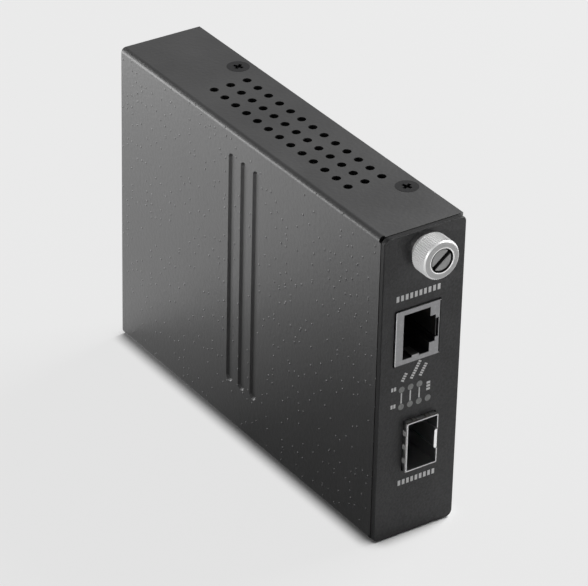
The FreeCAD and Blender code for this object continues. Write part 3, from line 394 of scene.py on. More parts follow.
def finish_material(name, kind, dark, light, rough, metal=0.0, bump=0.1, bump_depth=0.03,
                    stretch=(1, 1, 1), coat=0.0, coat_rough=0.1, specular=0.5, sizes=None):
    """Material whose colour and roughness vary over the surface, with a bump from its group.

    dark and light are the colour's two ends, rough the roughness's two ends, bump_depth is in mm.
    """
    material, nodes, links, shader = new_material(name)
    group = nodes.new("ShaderNodeGroup")
    group.node_tree = GROUPS[kind]
    links.new(object_vector(nodes, links, stretch), group.inputs["Vector"])
    for label, value in (sizes or {}).items():
        group.inputs[label].default_value = value
    tree = material.node_tree
    tone = ramp(tree, group.outputs["Tone"], 0.0, 1.0, TONE_LOW, TONE_HIGH)
    links.new(blend_colour(tree, tone, dark, light), shader.inputs["Base Color"])
    links.new(ramp(tree, tone, rough[0], rough[1]), shader.inputs["Roughness"])
    shader.inputs["Metallic"].default_value = metal
    shader.inputs["Coat Weight"].default_value = coat
    shader.inputs["Coat Roughness"].default_value = coat_rough
    shader.inputs["Specular IOR Level"].default_value = specular
    relief = nodes.new("ShaderNodeBump")
    relief.inputs["Strength"].default_value = bump
    relief.inputs["Distance"].default_value = bump_depth * MM
    links.new(group.outputs["Height"], relief.inputs["Height"])
    links.new(relief.outputs["Normal"], shader.inputs["Normal"])
    if coat:
        links.new(relief.outputs["Normal"], shader.inputs["Coat Normal"])
    return material


def finishes():
    """One material for each of the record's slots."""
    steel = (0.50, 0.51, 0.53)
    steel_light = (0.66, 0.67, 0.68)
    paint = {
        "kind": "powder", "dark": (0.006, 0.006, 0.0065), "light": (0.01, 0.01, 0.0105),
        "rough": (0.36, 0.42), "bump": 1.0, "coat": 0.8, "coat_rough": 0.34, "specular": 1.0,
    }
    return {
        "cover_paint": finish_material("cover_finish", bump_depth=0.17, **paint),
        "tray_paint": finish_material(
            "tray_finish", bump_depth=0.12, sizes={"Speck Amount": 0.04}, **paint),
        # Front plate grain, with a painted highlight past its left plane and painted shade past its top
        # plane
        "plate_paint": finish_material(
            "plate_finish", "grain", (0.008, 0.008, 0.0085), (0.03, 0.03, 0.031), (0.42, 0.5),
            bump=0.6, bump_depth=0.1, specular=0.35, sizes={
                "Grain Size": 1500.0, "Left Edge": PLATE_HIGHLIGHT_LEFT, "Top Edge": PLATE_SHADE_TOP}),
        "black_screw": finish_material(
            "screw_finish", "grain", (0.01, 0.01, 0.0105), (0.022, 0.022, 0.023), (0.3, 0.4),
            specular=0.35, sizes={"Grain Size": 3000.0}),
        "zinc_steel": finish_material(
            "zinc_finish", "brushed", steel, steel_light, (0.28, 0.4), metal=1.0, bump=0.05,
            stretch=(1, 0.06, 1)),
        "nickel": finish_material(
            "nickel_finish", "brushed", (0.62, 0.615, 0.61), (0.78, 0.775, 0.77), (0.34, 0.46),
            metal=0.7, bump=0.06, stretch=(1, 0.15, 1)),
        # Painted highlight: tin is lighter outside its two X planes
        "tinned_steel": finish_material(
            "tin_finish_with_painted_highlight", "edged", (0.25, 0.25, 0.255), (0.85, 0.85, 0.85), (0.42, 0.32), metal=1.0,
            bump=0.05, sizes={"Low Edge": -0.00797, "High Edge": 0.0052}),
        # Spring bronze: painted highlight outside its two X planes, and near-black elsewhere as painted
        # shade
        "spring_bronze": finish_material(
            "spring_finish_with_painted_light", "edged", (0.05, 0.049, 0.045), (0.95, 0.94, 0.92), (0.5, 0.4), metal=0.3,
            bump=0.04, sizes={"Low Edge": -0.00425, "High Edge": 0.00549}),
        "black_moulding": finish_material(
            "moulding_finish", "grain", (0.008, 0.008, 0.009), (0.016, 0.016, 0.017), (0.42, 0.55),
            bump=0.12, sizes={"Grain Size": 2000.0}),
        "nylon": finish_material(
            "nylon_finish", "grain", (0.02, 0.02, 0.021), (0.034, 0.034, 0.035), (0.45, 0.55),
            bump=0.08, sizes={"Grain Size": 1500.0}),
        "laminate": finish_material(
            "board_finish", "tracks", (0.005, 0.045, 0.02), (0.01, 0.08, 0.034), (0.36, 0.3),
            bump=0.3),
        "chip_epoxy": finish_material(
            "epoxy_finish", "grain", (0.014, 0.014, 0.015), (0.026, 0.026, 0.027), (0.5, 0.62),
            bump=0.15, sizes={"Grain Size": 3500.0}),
        "gold": finish_material(
            "gold_finish", "brushed", (0.72, 0.5, 0.2), (0.85, 0.62, 0.28), (0.22, 0.32), metal=1.0,
            bump=0.04, stretch=(1, 0.1, 1)),
        "lamp_lens": finish_material(
            "lens_finish", "grain", (0.12, 0.125, 0.12), (0.2, 0.205, 0.2), (0.3, 0.4),
            bump=0.05, coat=0.3, sizes={"Grain Size": 1200.0}),
        "ferrite": finish_material(
            "ferrite_finish", "grain", (0.03, 0.03, 0.032), (0.06, 0.06, 0.063), (0.5, 0.65),
            bump=0.2, sizes={"Grain Size": 2200.0}),
        "can_aluminium": finish_material(
            "aluminium_finish", "brushed", (0.62, 0.62, 0.63), (0.76, 0.76, 0.77), (0.26, 0.36),
            metal=1.0, bump=0.04, stretch=(0.1, 1, 1)),
        "can_steel": finish_material(
            "can_finish", "brushed", (0.55, 0.55, 0.56), (0.7, 0.7, 0.71), (0.24, 0.34),
            metal=1.0, bump=0.04, stretch=(1, 0.1, 1)),
    }


FINISHES = finishes()
# Thumbscrew metal whose near-black end is painted shade and whose light end is painted highlight, zone by
# zone
TURNED_PAINTED_LIGHT_FINISH = finish_material(
    "turned_nickel_with_painted_light", "turned", (0.012, 0.012, 0.012), (0.86, 0.86, 0.86), (0.5, 0.42),
    metal=0.45, bump_depth=0.02)
# Painted highlight: a lighter band past one X plane, between two heights
CAGE_PAINTED_HIGHLIGHT_FINISH = finish_material(
    "cage_finish_with_painted_highlight", "edged", (0.5, 0.5, 0.505), (0.92, 0.92, 0.92), (0.36, 0.3), metal=1.0,
    bump=0.05, sizes={"High Edge": 0.0040, "From Height": 0.0234, "To Height": 0.0297})
INK = finish_material(
    "white_ink", "grain", (0.5, 0.5, 0.5), (0.62, 0.62, 0.62), (0.45, 0.6),
    sizes={"Grain Size": 4000.0})


def dress_frame():
    """Gives each CAD node the finish of its material slot, and the optical cage its own, with a painted
    highlight band.
    """
    for part in frame["record"]["subparts"]:
        node = frame["nodes"][part["node"]]
        finish = CAGE_PAINTED_HIGHLIGHT_FINISH if part["node"] == "sfp_cage" else FINISHES[part["material_slot"]]
        if not node.material_slots:
            node.data.materials.append(finish)
        for place in node.material_slots:
            place.material = finish


# Geometry node helpers

def new_tree(name, inputs):
    """Geometry node tree with a geometry in and out and named inputs (type, default)."""
    tree = bpy.data.node_groups.new(name, "GeometryNodeTree")
    tree.interface.new_socket("Geometry", in_out="INPUT", socket_type="NodeSocketGeometry")
    for label, (kind, value) in inputs.items():
        socket = tree.interface.new_socket(label, in_out="INPUT", socket_type="NodeSocket" + kind)
        if value is not None:
            socket.default_value = value
    tree.interface.new_socket("Geometry", in_out="OUTPUT", socket_type="NodeSocketGeometry")
    start = tree.nodes.new("NodeGroupInput")
    end = tree.nodes.new("NodeGroupOutput")
    return tree, start, end


def close_tree(tree, start, end, geometry):
    """Ends a tree in Realize Instances and Set Material."""
    real = tree.nodes.new("GeometryNodeRealizeInstances")
    paint = tree.nodes.new("GeometryNodeSetMaterial")
    tree.links.new(geometry, real.inputs["Geometry"])
    tree.links.new(real.outputs["Geometry"], paint.inputs["Geometry"])
    tree.links.new(start.outputs["Material"], paint.inputs["Material"])
    tree.links.new(paint.outputs["Geometry"], end.inputs["Geometry"])


def add(tree, kind, links=None, **values):
    """Node with its properties and its input values or links set by name."""
    node = tree.nodes.new(kind)
    for key, value in values.items():
        setattr(node, key, value)
    for label, source in (links or {}).items():
        socket = node.inputs[label]
        if isinstance(source, bpy.types.NodeSocket):
            tree.links.new(source, socket)
        else:
            socket.default_value = source
    return node


def grow(name, mesh, tree, values, body):
    """Runs a tree on a mesh and keeps the result as a flat-shaded piece that rides a body."""
    source = bpy.data.objects.new(name + "_source", mesh)
    bpy.context.scene.collection.objects.link(source)
    modifier = source.modifiers.new("tree", "NODES")
    modifier.node_group = tree
    for item in tree.interface.items_tree:
        if item.in_out == "INPUT" and item.name in values:
            modifier[item.identifier] = values[item.name]
    bpy.context.view_layer.update()
    graph = bpy.context.evaluated_depsgraph_get()
    result = bpy.data.meshes.new_from_object(source.evaluated_get(graph))
    bpy.data.objects.remove(source)
    result.name = name
    for face in result.polygons:
        face.use_smooth = False
    piece = bpy.data.objects.new(name, result)
    bpy.context.scene.collection.objects.link(piece)
    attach(piece, body)
    return piece


def points_mesh(places, attributes=None):
    """Mesh of loose points with float attributes {name: values}."""
    mesh = bpy.data.meshes.new("points")
    mesh.from_pydata(places, [], [])
    for label, values in (attributes or {}).items():
        layer = mesh.attributes.new(label, "FLOAT", "POINT")
        for item, value in zip(layer.data, values):
            item.value = value
    return mesh


def read_attribute(tree, label):
    """Output that gives a float attribute of the points."""
    node = add(tree, "GeometryNodeInputNamedAttribute", {"Name": label}, data_type="FLOAT")
    return node.outputs["Attribute"]


def turned_mesh(profile, x, z, sides, material):
    """Closed surface turned about the Y axis through (x, z) from (radius, y) points."""
    shape = bmesh.new()
    rings = []
    for radius, y in profile:
        if radius == 0:
            rings.append([shape.verts.new((x, y, z))])
            continue
        rings.append([shape.verts.new((x + radius * math.cos(2 * math.pi * i / sides), y,
                                       z + radius * math.sin(2 * math.pi * i / sides)))
                      for i in range(sides)])
    closed = profile[0][0] != 0
    pairs = list(zip(rings, rings[1:] + rings[:1])) if closed else list(zip(rings, rings[1:]))
    for near, far in pairs:
        for i in range(sides):
            k = (i + 1) % sides
            corners = [near[i % len(near)], near[k % len(near)], far[k % len(far)], far[i % len(far)]]
            shape.faces.new(list(dict.fromkeys(corners)))
    bmesh.ops.recalc_face_normals(shape, faces=shape.faces)
    mesh = bpy.data.meshes.new("turned")
    shape.to_mesh(mesh)
    shape.free()
    mesh.materials.append(material)
    return mesh


# Cover screws: countersunk heads with a cross recess

def screw_tree():
    """Countersunk head and shank with a cross cut into the head, at each point."""
    tree, start, end = new_tree("cross_screws", {
        "Head Radius": ("Float", 0.003), "Shank Radius": ("Float", 0.0015),
        "Head Height": ("Float", 0.001), "Length": ("Float", 0.003),
        "Recess Width": ("Float", 0.0007), "Recess Reach": ("Float", 0.003),
        "Recess Depth": ("Float", 0.0008), "Material": ("Material", None),
    })
    head = add(tree, "GeometryNodeMeshCone", {
        "Vertices": SCREW_SIDES, "Radius Top": start.outputs["Head Radius"],
        "Radius Bottom": start.outputs["Shank Radius"], "Depth": start.outputs["Head Height"]})
    down = add(tree, "ShaderNodeCombineXYZ", {
        "Z": maths(tree, "MULTIPLY", start.outputs["Head Height"], -1.0)})
    lowered = add(tree, "GeometryNodeTransform", {
        "Geometry": head.outputs["Mesh"], "Translation": down.outputs["Vector"]})
    shank = add(tree, "GeometryNodeMeshCylinder", {
        "Vertices": SCREW_SIDES, "Radius": start.outputs["Shank Radius"],
        "Depth": start.outputs["Length"]})
    under = maths(tree, "ADD", start.outputs["Head Height"],
                  maths(tree, "MULTIPLY", start.outputs["Length"], 0.5))
    shank_down = add(tree, "ShaderNodeCombineXYZ", {"Z": maths(tree, "MULTIPLY", under, -1.0)})
    shank_low = add(tree, "GeometryNodeTransform", {
        "Geometry": shank.outputs["Mesh"], "Translation": shank_down.outputs["Vector"]})
    deep = maths(tree, "MULTIPLY", start.outputs["Recess Depth"], 2.0)
    cut = lowered.outputs["Geometry"]
    for first, second in (("Recess Width", "Recess Reach"), ("Recess Reach", "Recess Width")):
        size = add(tree, "ShaderNodeCombineXYZ", {
            "X": start.outputs[first], "Y": start.outputs[second], "Z": deep})
        arm = add(tree, "GeometryNodeMeshCube", {"Size": size.outputs["Vector"]})
        cut = add(tree, "GeometryNodeMeshBoolean", {
            "Mesh 1": cut, "Mesh 2": arm.outputs["Mesh"]}, operation="DIFFERENCE").outputs["Mesh"]
    both = tree.nodes.new("GeometryNodeJoinGeometry")
    tree.links.new(cut, both.inputs["Geometry"])
    tree.links.new(shank_low.outputs["Geometry"], both.inputs["Geometry"])
    turn = add(tree, "ShaderNodeCombineXYZ", {
        "X": read_attribute(tree, "flip"), "Z": read_attribute(tree, "turn")})
    copies = add(tree, "GeometryNodeInstanceOnPoints", {
        "Points": start.outputs["Geometry"], "Instance": both.outputs["Geometry"],
        "Rotation": turn.outputs["Vector"]})
    close_tree(tree, start, end, copies.outputs["Instances"])
    return tree


def cover_screws():
    """Two screws in the top and two below, each turned its own way in radians."""
    low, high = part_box("cover_screws")
    cover_low, cover_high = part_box("cover")
    x = (low.x + high.x) / 2
    ys = (low.y + SCREW_NODE_RADIUS, high.y - SCREW_NODE_RADIUS)
    top = cover_high.z + SCREW_STAND_OUT
    bottom = cover_low.z - SCREW_STAND_OUT
    places = [(x, y, top) for y in ys] + [(x, y, bottom) for y in ys]
    attributes = {"flip": [0, 0, math.pi, math.pi], "turn": [0.35, 0.52, 0.2, 0.9]}
    lug_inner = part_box("base_tray")[1].z - LUG_THICKNESS
    piece = grow("cover_screws_detailed", points_mesh(places, attributes), screw_tree(), {
        "Head Radius": SCREW_HEAD_RADIUS, "Shank Radius": SCREW_SHANK_RADIUS,
        "Head Height": SCREW_HEAD_HEIGHT, "Length": top - SCREW_HEAD_HEIGHT - lug_inner + SCREW_PAST_LUG,
        "Recess Width": RECESS_WIDTH, "Recess Reach": RECESS_REACH, "Recess Depth": RECESS_DEPTH,
        "Material": FINISHES["black_screw"],
    }, "sleeve")
    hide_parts("cover_screws")
    return piece


# Thumbscrew: knurled knob and threaded stud

def knurl_tree():
    """Straight ribs round a turned body, whose axis lies along Y."""
    tree, start, end = new_tree("straight_knurl", {
        "Ribs": ("Int", 72), "Radius": ("Float", 0.005), "Height": ("Float", 0.0002),
        "Length": ("Float", 0.004), "Middle": ("Vector", (0, 0, 0)), "Material": ("Material", None),
    })
    index = tree.nodes.new("GeometryNodeInputIndex")
    step = maths(tree, "DIVIDE", 2 * math.pi, start.outputs["Ribs"])
    angle = maths(tree, "MULTIPLY", index.outputs["Index"], step)
    across = maths(tree, "MULTIPLY", maths(tree, "SINE", angle), start.outputs["Radius"])
    up = maths(tree, "MULTIPLY", maths(tree, "COSINE", angle), start.outputs["Radius"])
    circle = add(tree, "ShaderNodeCombineXYZ", {"X": across, "Z": up})
    place = add(tree, "ShaderNodeVectorMath", operation="ADD")
    tree.links.new(circle.outputs["Vector"], place.inputs[0])
    tree.links.new(start.outputs["Middle"], place.inputs[1])
    spots = add(tree, "GeometryNodePoints", {
        "Count": start.outputs["Ribs"], "Position": place.outputs["Vector"]})
    rib = add(tree, "GeometryNodeMeshCone", {
        "Vertices": 4, "Radius Top": start.outputs["Height"], "Radius Bottom": start.outputs["Height"],
        "Depth": start.outputs["Length"]})
    half = maths(tree, "MULTIPLY", start.outputs["Length"], -0.5)
    back = add(tree, "ShaderNodeCombineXYZ", {"Z": half})
    centred = add(tree, "GeometryNodeTransform", {
        "Geometry": rib.outputs["Mesh"], "Translation": back.outputs["Vector"]})
    laid = add(tree, "GeometryNodeTransform", {
        "Geometry": centred.outputs["Geometry"], "Rotation": (math.pi / 2, 0, 0)})
    turn = add(tree, "ShaderNodeCombineXYZ", {"Y": angle})
    copies = add(tree, "GeometryNodeInstanceOnPoints", {
        "Points": spots.outputs["Points"], "Instance": laid.outputs["Geometry"],
        "Rotation": turn.outputs["Vector"]})
    both = tree.nodes.new("GeometryNodeJoinGeometry")
    tree.links.new(start.outputs["Geometry"], both.inputs["Geometry"])
    tree.links.new(copies.outputs["Instances"], both.inputs["Geometry"])
    close_tree(tree, start, end, both.outputs["Geometry"])
    return tree


def knurled_knob():
    """Hollow knob with a recess in front and straight ribs round it."""
    low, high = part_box("thumbscrew_knob")
    x = (low.x + high.x) / 2
    z = (low.z + high.z) / 2
    radius = (high.x - low.x) / 2
    body = radius - KNURL_HEIGHT
    edge = 0.5 * MM
    recess = 3.25 * MM
    floor = low.y + 1.2 * MM
    bore = 4.1 * MM
    bore_end = floor + 0.9 * MM
    hole = 1.25 * MM
    soft = 0.12 * MM
    profile = [
        (hole, floor), (recess, floor), (recess, low.y + soft), (recess + soft, low.y),
        (body - edge, low.y), (body - edge * 0.35, low.y + edge * 0.3), (body, low.y + edge),
        (body, high.y - edge), (body - edge * 0.35, high.y - edge * 0.3), (body - edge, high.y),
        (bore, high.y), (bore, bore_end), (hole, bore_end),
    ]
    mesh = turned_mesh(profile, x, z, KNOB_SIDES, TURNED_PAINTED_LIGHT_FINISH)
    piece = grow("thumbscrew_knob_knurled", mesh, knurl_tree(), {
        "Ribs": KNURL_RIBS, "Radius": body - KNURL_HEIGHT * 0.1, "Height": KNURL_HEIGHT,
        "Length": high.y - low.y - 2 * KNURL_MARGIN, "Middle": (x, (low.y + high.y) / 2, z),
        "Material": TURNED_PAINTED_LIGHT_FINISH,
    }, "thumbscrew")
    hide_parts("thumbscrew_knob")
    return piece


def slot_tree():
    """Cuts a straight slot across the front of a turned head whose axis lies along Y."""
    tree, start, end = new_tree("screw_slot", {
        "Size": ("Vector", (0.01, 0.001, 0.001)), "Place": ("Vector", (0, 0, 0)),
        "Turn": ("Float", 0.0), "Material": ("Material", None)})
    bar = add(tree, "GeometryNodeMeshCube", {"Size": start.outputs["Size"]})
    turn = add(tree, "ShaderNodeCombineXYZ", {"Y": start.outputs["Turn"]})
    placed = add(tree, "GeometryNodeTransform", {
        "Geometry": bar.outputs["Mesh"], "Translation": start.outputs["Place"],
        "Rotation": turn.outputs["Vector"]})
    cut = add(tree, "GeometryNodeMeshBoolean", {
        "Mesh 1": start.outputs["Geometry"], "Mesh 2": placed.outputs["Geometry"]},
        operation="DIFFERENCE", solver="EXACT")
    close_tree(tree, start, end, cut.outputs["Mesh"])
    return tree


def threaded_stud():
    """Slotted head with a soft rim, thin neck, and thread ridges along the shank."""
    low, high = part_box("thumbscrew_stud")
    x = (low.x + high.x) / 2
    z = (low.z + high.z) / 2
    front = low.y
    seat = front + STUD_HEAD_HEIGHT
    thread_end = high.y
    thread_start = thread_end - STUD_THREAD_LENGTH
    root = STUD_THREAD_RADIUS - THREAD_DEPTH
    profile = [
        (0, front), (STUD_HEAD_RADIUS - STUD_RIM_WIDTH, front),
        (STUD_HEAD_RADIUS, front + STUD_RIM_HEIGHT), (STUD_HEAD_RADIUS, seat),
        (STUD_NECK_RADIUS, seat), (STUD_NECK_RADIUS, thread_start),
    ]
    y = thread_start
    while y + THREAD_PITCH <= thread_end - THREAD_DEPTH:
        profile += [(root, y), (STUD_THREAD_RADIUS, y + THREAD_PITCH / 2)]
        y += THREAD_PITCH
    profile += [(root, y), (STUD_THREAD_RADIUS - 2 * THREAD_DEPTH, thread_end), (0, thread_end)]
    mesh = turned_mesh(profile, x, z, STUD_SIDES, TURNED_PAINTED_LIGHT_FINISH)
    piece = grow("thumbscrew_stud_threaded", mesh, slot_tree(), {
        "Size": (3 * STUD_HEAD_RADIUS, 2 * STUD_SLOT_DEPTH, STUD_SLOT_WIDTH), "Place": (x, front, z),
        "Turn": -math.radians(STUD_SLOT_TURN), "Material": TURNED_PAINTED_LIGHT_FINISH,
    }, "thumbscrew")
    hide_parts("thumbscrew_stud")
    return piece


# Print on the front plate: plain bars and ticks

def ink_tree():
    """A thin flat bar at each point, with the point's width, height and turn."""
    tree, start, end = new_tree("ink_bars", {
        "Thickness": ("Float", 0.00002), "Material": ("Material", None)})
    bar = add(tree, "GeometryNodeMeshCube", {"Size": (1, 1, 1)})
    size = add(tree, "ShaderNodeCombineXYZ", {
        "X": read_attribute(tree, "width"), "Y": start.outputs["Thickness"],
        "Z": read_attribute(tree, "height")})
    turn = add(tree, "ShaderNodeCombineXYZ", {"Y": read_attribute(tree, "turn")})
    copies = add(tree, "GeometryNodeInstanceOnPoints", {
        "Points": start.outputs["Geometry"], "Instance": bar.outputs["Mesh"],
        "Rotation": turn.outputs["Vector"], "Scale": size.outputs["Vector"]})
    close_tree(tree, start, end, copies.outputs["Instances"])
    return tree


def middle_of(node):
    """Middle of a CAD node's box across and up, in millimetres."""
    low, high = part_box(node)
    return (low.x + high.x) / 2 / MM, (low.z + high.z) / 2 / MM


def bar_row(start, angle, reach, count, height, share=0.6):
    """Bars side by side along a slanted line from a start (x, z), in millimetres.

    angle is in degrees from level, and share is the part of each step that its bar fills.
    """
    step = reach / count
    along = math.radians(angle)
    marks = []
    for i in range(count):
        shift = (i + 0.5) * step
        marks.append((start[0] + shift * math.cos(along), start[1] + shift * math.sin(along),
                      step * share, height, -angle))
    return marks


def ink_marks():
    """Marks as (x, z, width, height, turn in degrees), in millimetres.

    Lines join the lamps one above the other. Bars stand beside and above the lamps, above the
    copper socket and below the module slot.
    """
    upper = [middle_of(name) for name in UPPER_LAMPS]
    lower = [middle_of(name) for name in LOWER_LAMPS]
    drop = upper[0][1] - lower[0][1]
    line = drop - 2 * LENS_RADIUS / MM - LAMP_LINE_GAPS
    marks = [(x, z - drop / 2, LAMP_LINE_WIDTH, line, 0) for x, z in upper]
    for x, z in (upper[0], lower[0]):
        marks += bar_row((x - 3.3, z + 0.8), 0, 1.7, 2, 1.1, 0.7)
    for (x, z), reach, count in zip(upper, (2.6, 5.4, 3.8), (4, 8, 6)):
        marks += bar_row((x, z + 2.3), SLANT, reach, count, 0.95, 0.7)
    x, z = lower[3]
    marks += bar_row((x, z + 2.2), 90, 2.8, 3, 1.1, 0.7)
    x = middle_of("rj45_shield")[0]
    marks += bar_row((x - 6.9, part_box("rj45_shield")[1].z / MM + 3.6), 0, 13.7, 10, 1.6)
    x = middle_of("sfp_cage")[0]
    marks += bar_row((x - 6.2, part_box("sfp_cage")[0].z / MM - 3.7), 0, 11.8, 9, 1.5)
    return marks


def print_bars():
    """All the marks as thin bars of ink that lie on the plate."""
    xs, zs, widths, heights, turns = zip(*ink_marks())
    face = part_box("front_plate")[0].y - INK_THICKNESS / 2
    places = [(x * MM, face, z * MM) for x, z in zip(xs, zs)]
    attributes = {
        "width": [width * MM for width in widths],
        "height": [height * MM for height in heights],
        "turn": [math.radians(turn) for turn in turns],
    }
    return grow("front_print", points_mesh(places, attributes), ink_tree(), {
        "Thickness": INK_THICKNESS, "Material": INK}, "card")


# Lamp lenses, flush with the plate

def lens_tree():
    """A low disc at each point, with its axis along Y."""
    tree, start, end = new_tree("round_lenses", {
        "Radius": ("Float", 0.0009), "Thickness": ("Float", 0.0002), "Material": ("Material", None)})
    disc = add(tree, "GeometryNodeMeshCylinder", {
        "Vertices": LENS_SIDES, "Radius": start.outputs["Radius"],
        "Depth": start.outputs["Thickness"]})
    copies = add(tree, "GeometryNodeInstanceOnPoints", {
        "Points": start.outputs["Geometry"], "Instance": disc.outputs["Mesh"],
        "Rotation": (math.pi / 2, 0, 0)})
    close_tree(tree, start, end, copies.outputs["Instances"])
    return tree


def lamp_lenses():
    """Lenses in the plate's holes, in front of the seven lamps."""
    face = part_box("front_plate")[0].y - LENS_STAND_OUT + LENS_THICKNESS / 2
    middles = [middle_of(name) for name in UPPER_LAMPS + LOWER_LAMPS]
    places = [(x * MM, face, z * MM) for x, z in middles]
    return grow("lamp_lenses", points_mesh(places), lens_tree(), {
        "Radius": LENS_RADIUS, "Thickness": LENS_THICKNESS, "Material": FINISHES["lamp_lens"],
    }, "card")


# Small parts and solder on the circuit board

def passive_places():
    """Small two-ended parts in rows beside the larger ones: (y, z) in millimetres, and turns.

    Each row is (first y, first z, step in y, step in z, count, quarter turns).
    """
    rows = [
        (-24.0, 69.2, 2.4, 0, 6, 0), (-7.2, 53.5, 0, 2.6, 5, 1), (-24.0, 48.6, 2.4, 0, 3, 0),
        (-36.0, 69.0, 2.4, 0, 3, 0), (-36.0, 49.4, 2.4, 0, 3, 0), (21.6, 33.5, 0, 2.4, 3, 1),
        (-50.5, 37.2, 0, 1.4, 7, 1), (-48.0, 16.0, 3.0, 0, 7, 0), (-44.0, 37.0, 3.0, 0, 6, 0),
        (41.5, 20.0, 0, 2.6, 3, 1), (2.0, 58.0, 0, 2.6, 4, 1), (-3.0, 40.0, 0, 2.6, 4, 1),
    ]
    places, turns = [], []
    for y, z, step_y, step_z, count, quarters in rows:
        places += [(y + i * step_y, z + i * step_z) for i in range(count)]
        turns += [quarters * math.pi / 2] * count
    return places, turns


def passive_tree():
    """A pair of like blocks at each point, with their middles the given distance apart."""
    tree, start, end = new_tree("small_parts", {
        "Length": ("Float", 0.0016), "Width": ("Float", 0.0008), "Height": ("Float", 0.0005),
        "Apart": ("Float", 0.0), "Material": ("Material", None)})
    size = add(tree, "ShaderNodeCombineXYZ", {
        "X": start.outputs["Height"], "Y": start.outputs["Width"], "Z": start.outputs["Length"]})
    block = add(tree, "GeometryNodeMeshCube", {"Size": size.outputs["Vector"]})
    pair = tree.nodes.new("GeometryNodeJoinGeometry")
    for sign in (-0.5, 0.5):
        shift = add(tree, "ShaderNodeCombineXYZ", {
            "Z": maths(tree, "MULTIPLY", start.outputs["Apart"], sign)})
        moved = add(tree, "GeometryNodeTransform", {
            "Geometry": block.outputs["Mesh"], "Translation": shift.outputs["Vector"]})
        tree.links.new(moved.outputs["Geometry"], pair.inputs["Geometry"])
    turn = add(tree, "ShaderNodeCombineXYZ", {"X": read_attribute(tree, "turn")})
    copies = add(tree, "GeometryNodeInstanceOnPoints", {
        "Points": start.outputs["Geometry"], "Instance": pair.outputs["Geometry"],
        "Rotation": turn.outputs["Vector"]})
    close_tree(tree, start, end, copies.outputs["Instances"])
    return tree


def small_parts():
    """Bodies, as two halves that meet, and end caps of the small parts on the board's left side."""
    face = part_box("circuit_board")[0].x
    places, turns = passive_places()
    tree = passive_tree()
    kinds = (
        ("small_part_bodies", "chip_epoxy",
         {"Length": 0.5 * MM, "Width": 0.75 * MM, "Height": 0.5 * MM, "Apart": 0.5 * MM}),
        ("small_part_ends", "tinned_steel",
         {"Length": 0.35 * MM, "Width": 0.85 * MM, "Height": 0.55 * MM, "Apart": 1.35 * MM}),
    )
    for name, slot, sizes in kinds:
        points = [(face - sizes["Height"] / 2, y * MM, z * MM) for y, z in places]
        values = {"Material": FINISHES[slot], **sizes}
        grow(name, points_mesh(points, {"turn": turns}), tree, values, "card")


def solder_tree():
    """A low cone of solder at each point, pointing along +X."""
    tree, start, end = new_tree("solder_joints", {
        "Radius": ("Float", 0.0008), "Height": ("Float", 0.0006), "Material": ("Material", None)})
    cone = add(tree, "GeometryNodeMeshCone", {
        "Vertices": SOLDER_SIDES, "Radius Bottom": start.outputs["Radius"],
        "Radius Top": maths(tree, "MULTIPLY", start.outputs["Radius"], SOLDER_TIP_SHARE),
        "Depth": start.outputs["Height"]})
    copies = add(tree, "GeometryNodeInstanceOnPoints", {
        "Points": start.outputs["Geometry"], "Instance": cone.outputs["Mesh"],
        "Rotation": (0, math.pi / 2, 0)})
    close_tree(tree, start, end, copies.outputs["Instances"])
    return tree


def solder_joints():
    """Solder behind the parts whose leads go through the board.

    Each row is (first y, first z, step in y, step in z, count), in millimetres.
    """
    rows = [
        (-47.5, 54.5, 1.27, 0, 8), (-44.9, 63.5, 1.27, 0, 6), (-55.0, 43.6, 0, -5.0, 2),
        (-50.0, 18.9, 9.0, 0, 4), (-50.0, 34.6, 9.0, 0, 4), (47.6, 19.6, 0, 3.4, 3),
        (34.05, 50.0, 2.5, 0, 2), (14.05, 50.0, 2.5, 0, 2), (-10.25, 42.0, 0, 4.9, 2),
    ]
    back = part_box("circuit_board")[1].x
    points = [(back, (y + i * step_y) * MM, (z + i * step_z) * MM)
              for y, z, step_y, step_z, count in rows for i in range(count)]
    return grow("solder_joints", points_mesh(points), solder_tree(), {
        "Radius": SOLDER_RADIUS, "Height": SOLDER_HEIGHT, "Material": FINISHES["tinned_steel"],
    }, "card")


# Studio

def background_share(tree, mirrored_share, seen_share):
    """Share of the plain background, given once for the camera and once for metal and glass."""
    rays = tree.nodes.new("ShaderNodeLightPath")
    mirrored = maths(tree, "MAXIMUM", rays.outputs["Is Glossy Ray"], rays.outputs["Is Transmission Ray"])
    return maths(tree, "ADD", maths(tree, "MULTIPLY", rays.outputs["Is Camera Ray"], seen_share),
                 maths(tree, "MULTIPLY", mirrored, mirrored_share))


def floor_material():
    """Pale floor, part lit surface and part plain background.

    For the camera it stays even, apart from a contact shadow close to the case. In metal and
    glass the background's share rises from the front to the rear.
    """
    material, nodes, links, shader = new_material("floor_finish")
    tree = material.node_tree
    shader.inputs["Base Color"].default_value = (*FLOOR_COLOUR, 1)
    shader.inputs["Roughness"].default_value = 1.0
    shader.inputs["Specular IOR Level"].default_value = 0.0
    glow = nodes.new("ShaderNodeEmission")
    glow.inputs["Color"].default_value = (BACKGROUND, BACKGROUND, BACKGROUND, 1)
    mix = nodes.new("ShaderNodeMixShader")
    contact = nodes.new("ShaderNodeAmbientOcclusion")
    contact.inputs["Distance"].default_value = CONTACT_SHADOW_REACH
    seen = ramp(tree, contact.outputs["AO"], 0.0, FLOOR_EVENNESS, *CONTACT_SHADOW_FROM_TO)
    parts = split(tree, object_vector(nodes, links))
    mirrored = ramp(tree, parts["Y"], FLOOR_MIRRORED_FRONT, FLOOR_MIRRORED_REAR,
                    *FLOOR_MIRRORED_FROM_TO)
    links.new(background_share(tree, mirrored, seen), mix.inputs["Fac"])
    links.new(shader.outputs["BSDF"], mix.inputs[1])
    links.new(glow.outputs["Emission"], mix.inputs[2])
    links.new(mix.outputs["Shader"], nodes["Material Output"].inputs["Surface"])
    return material


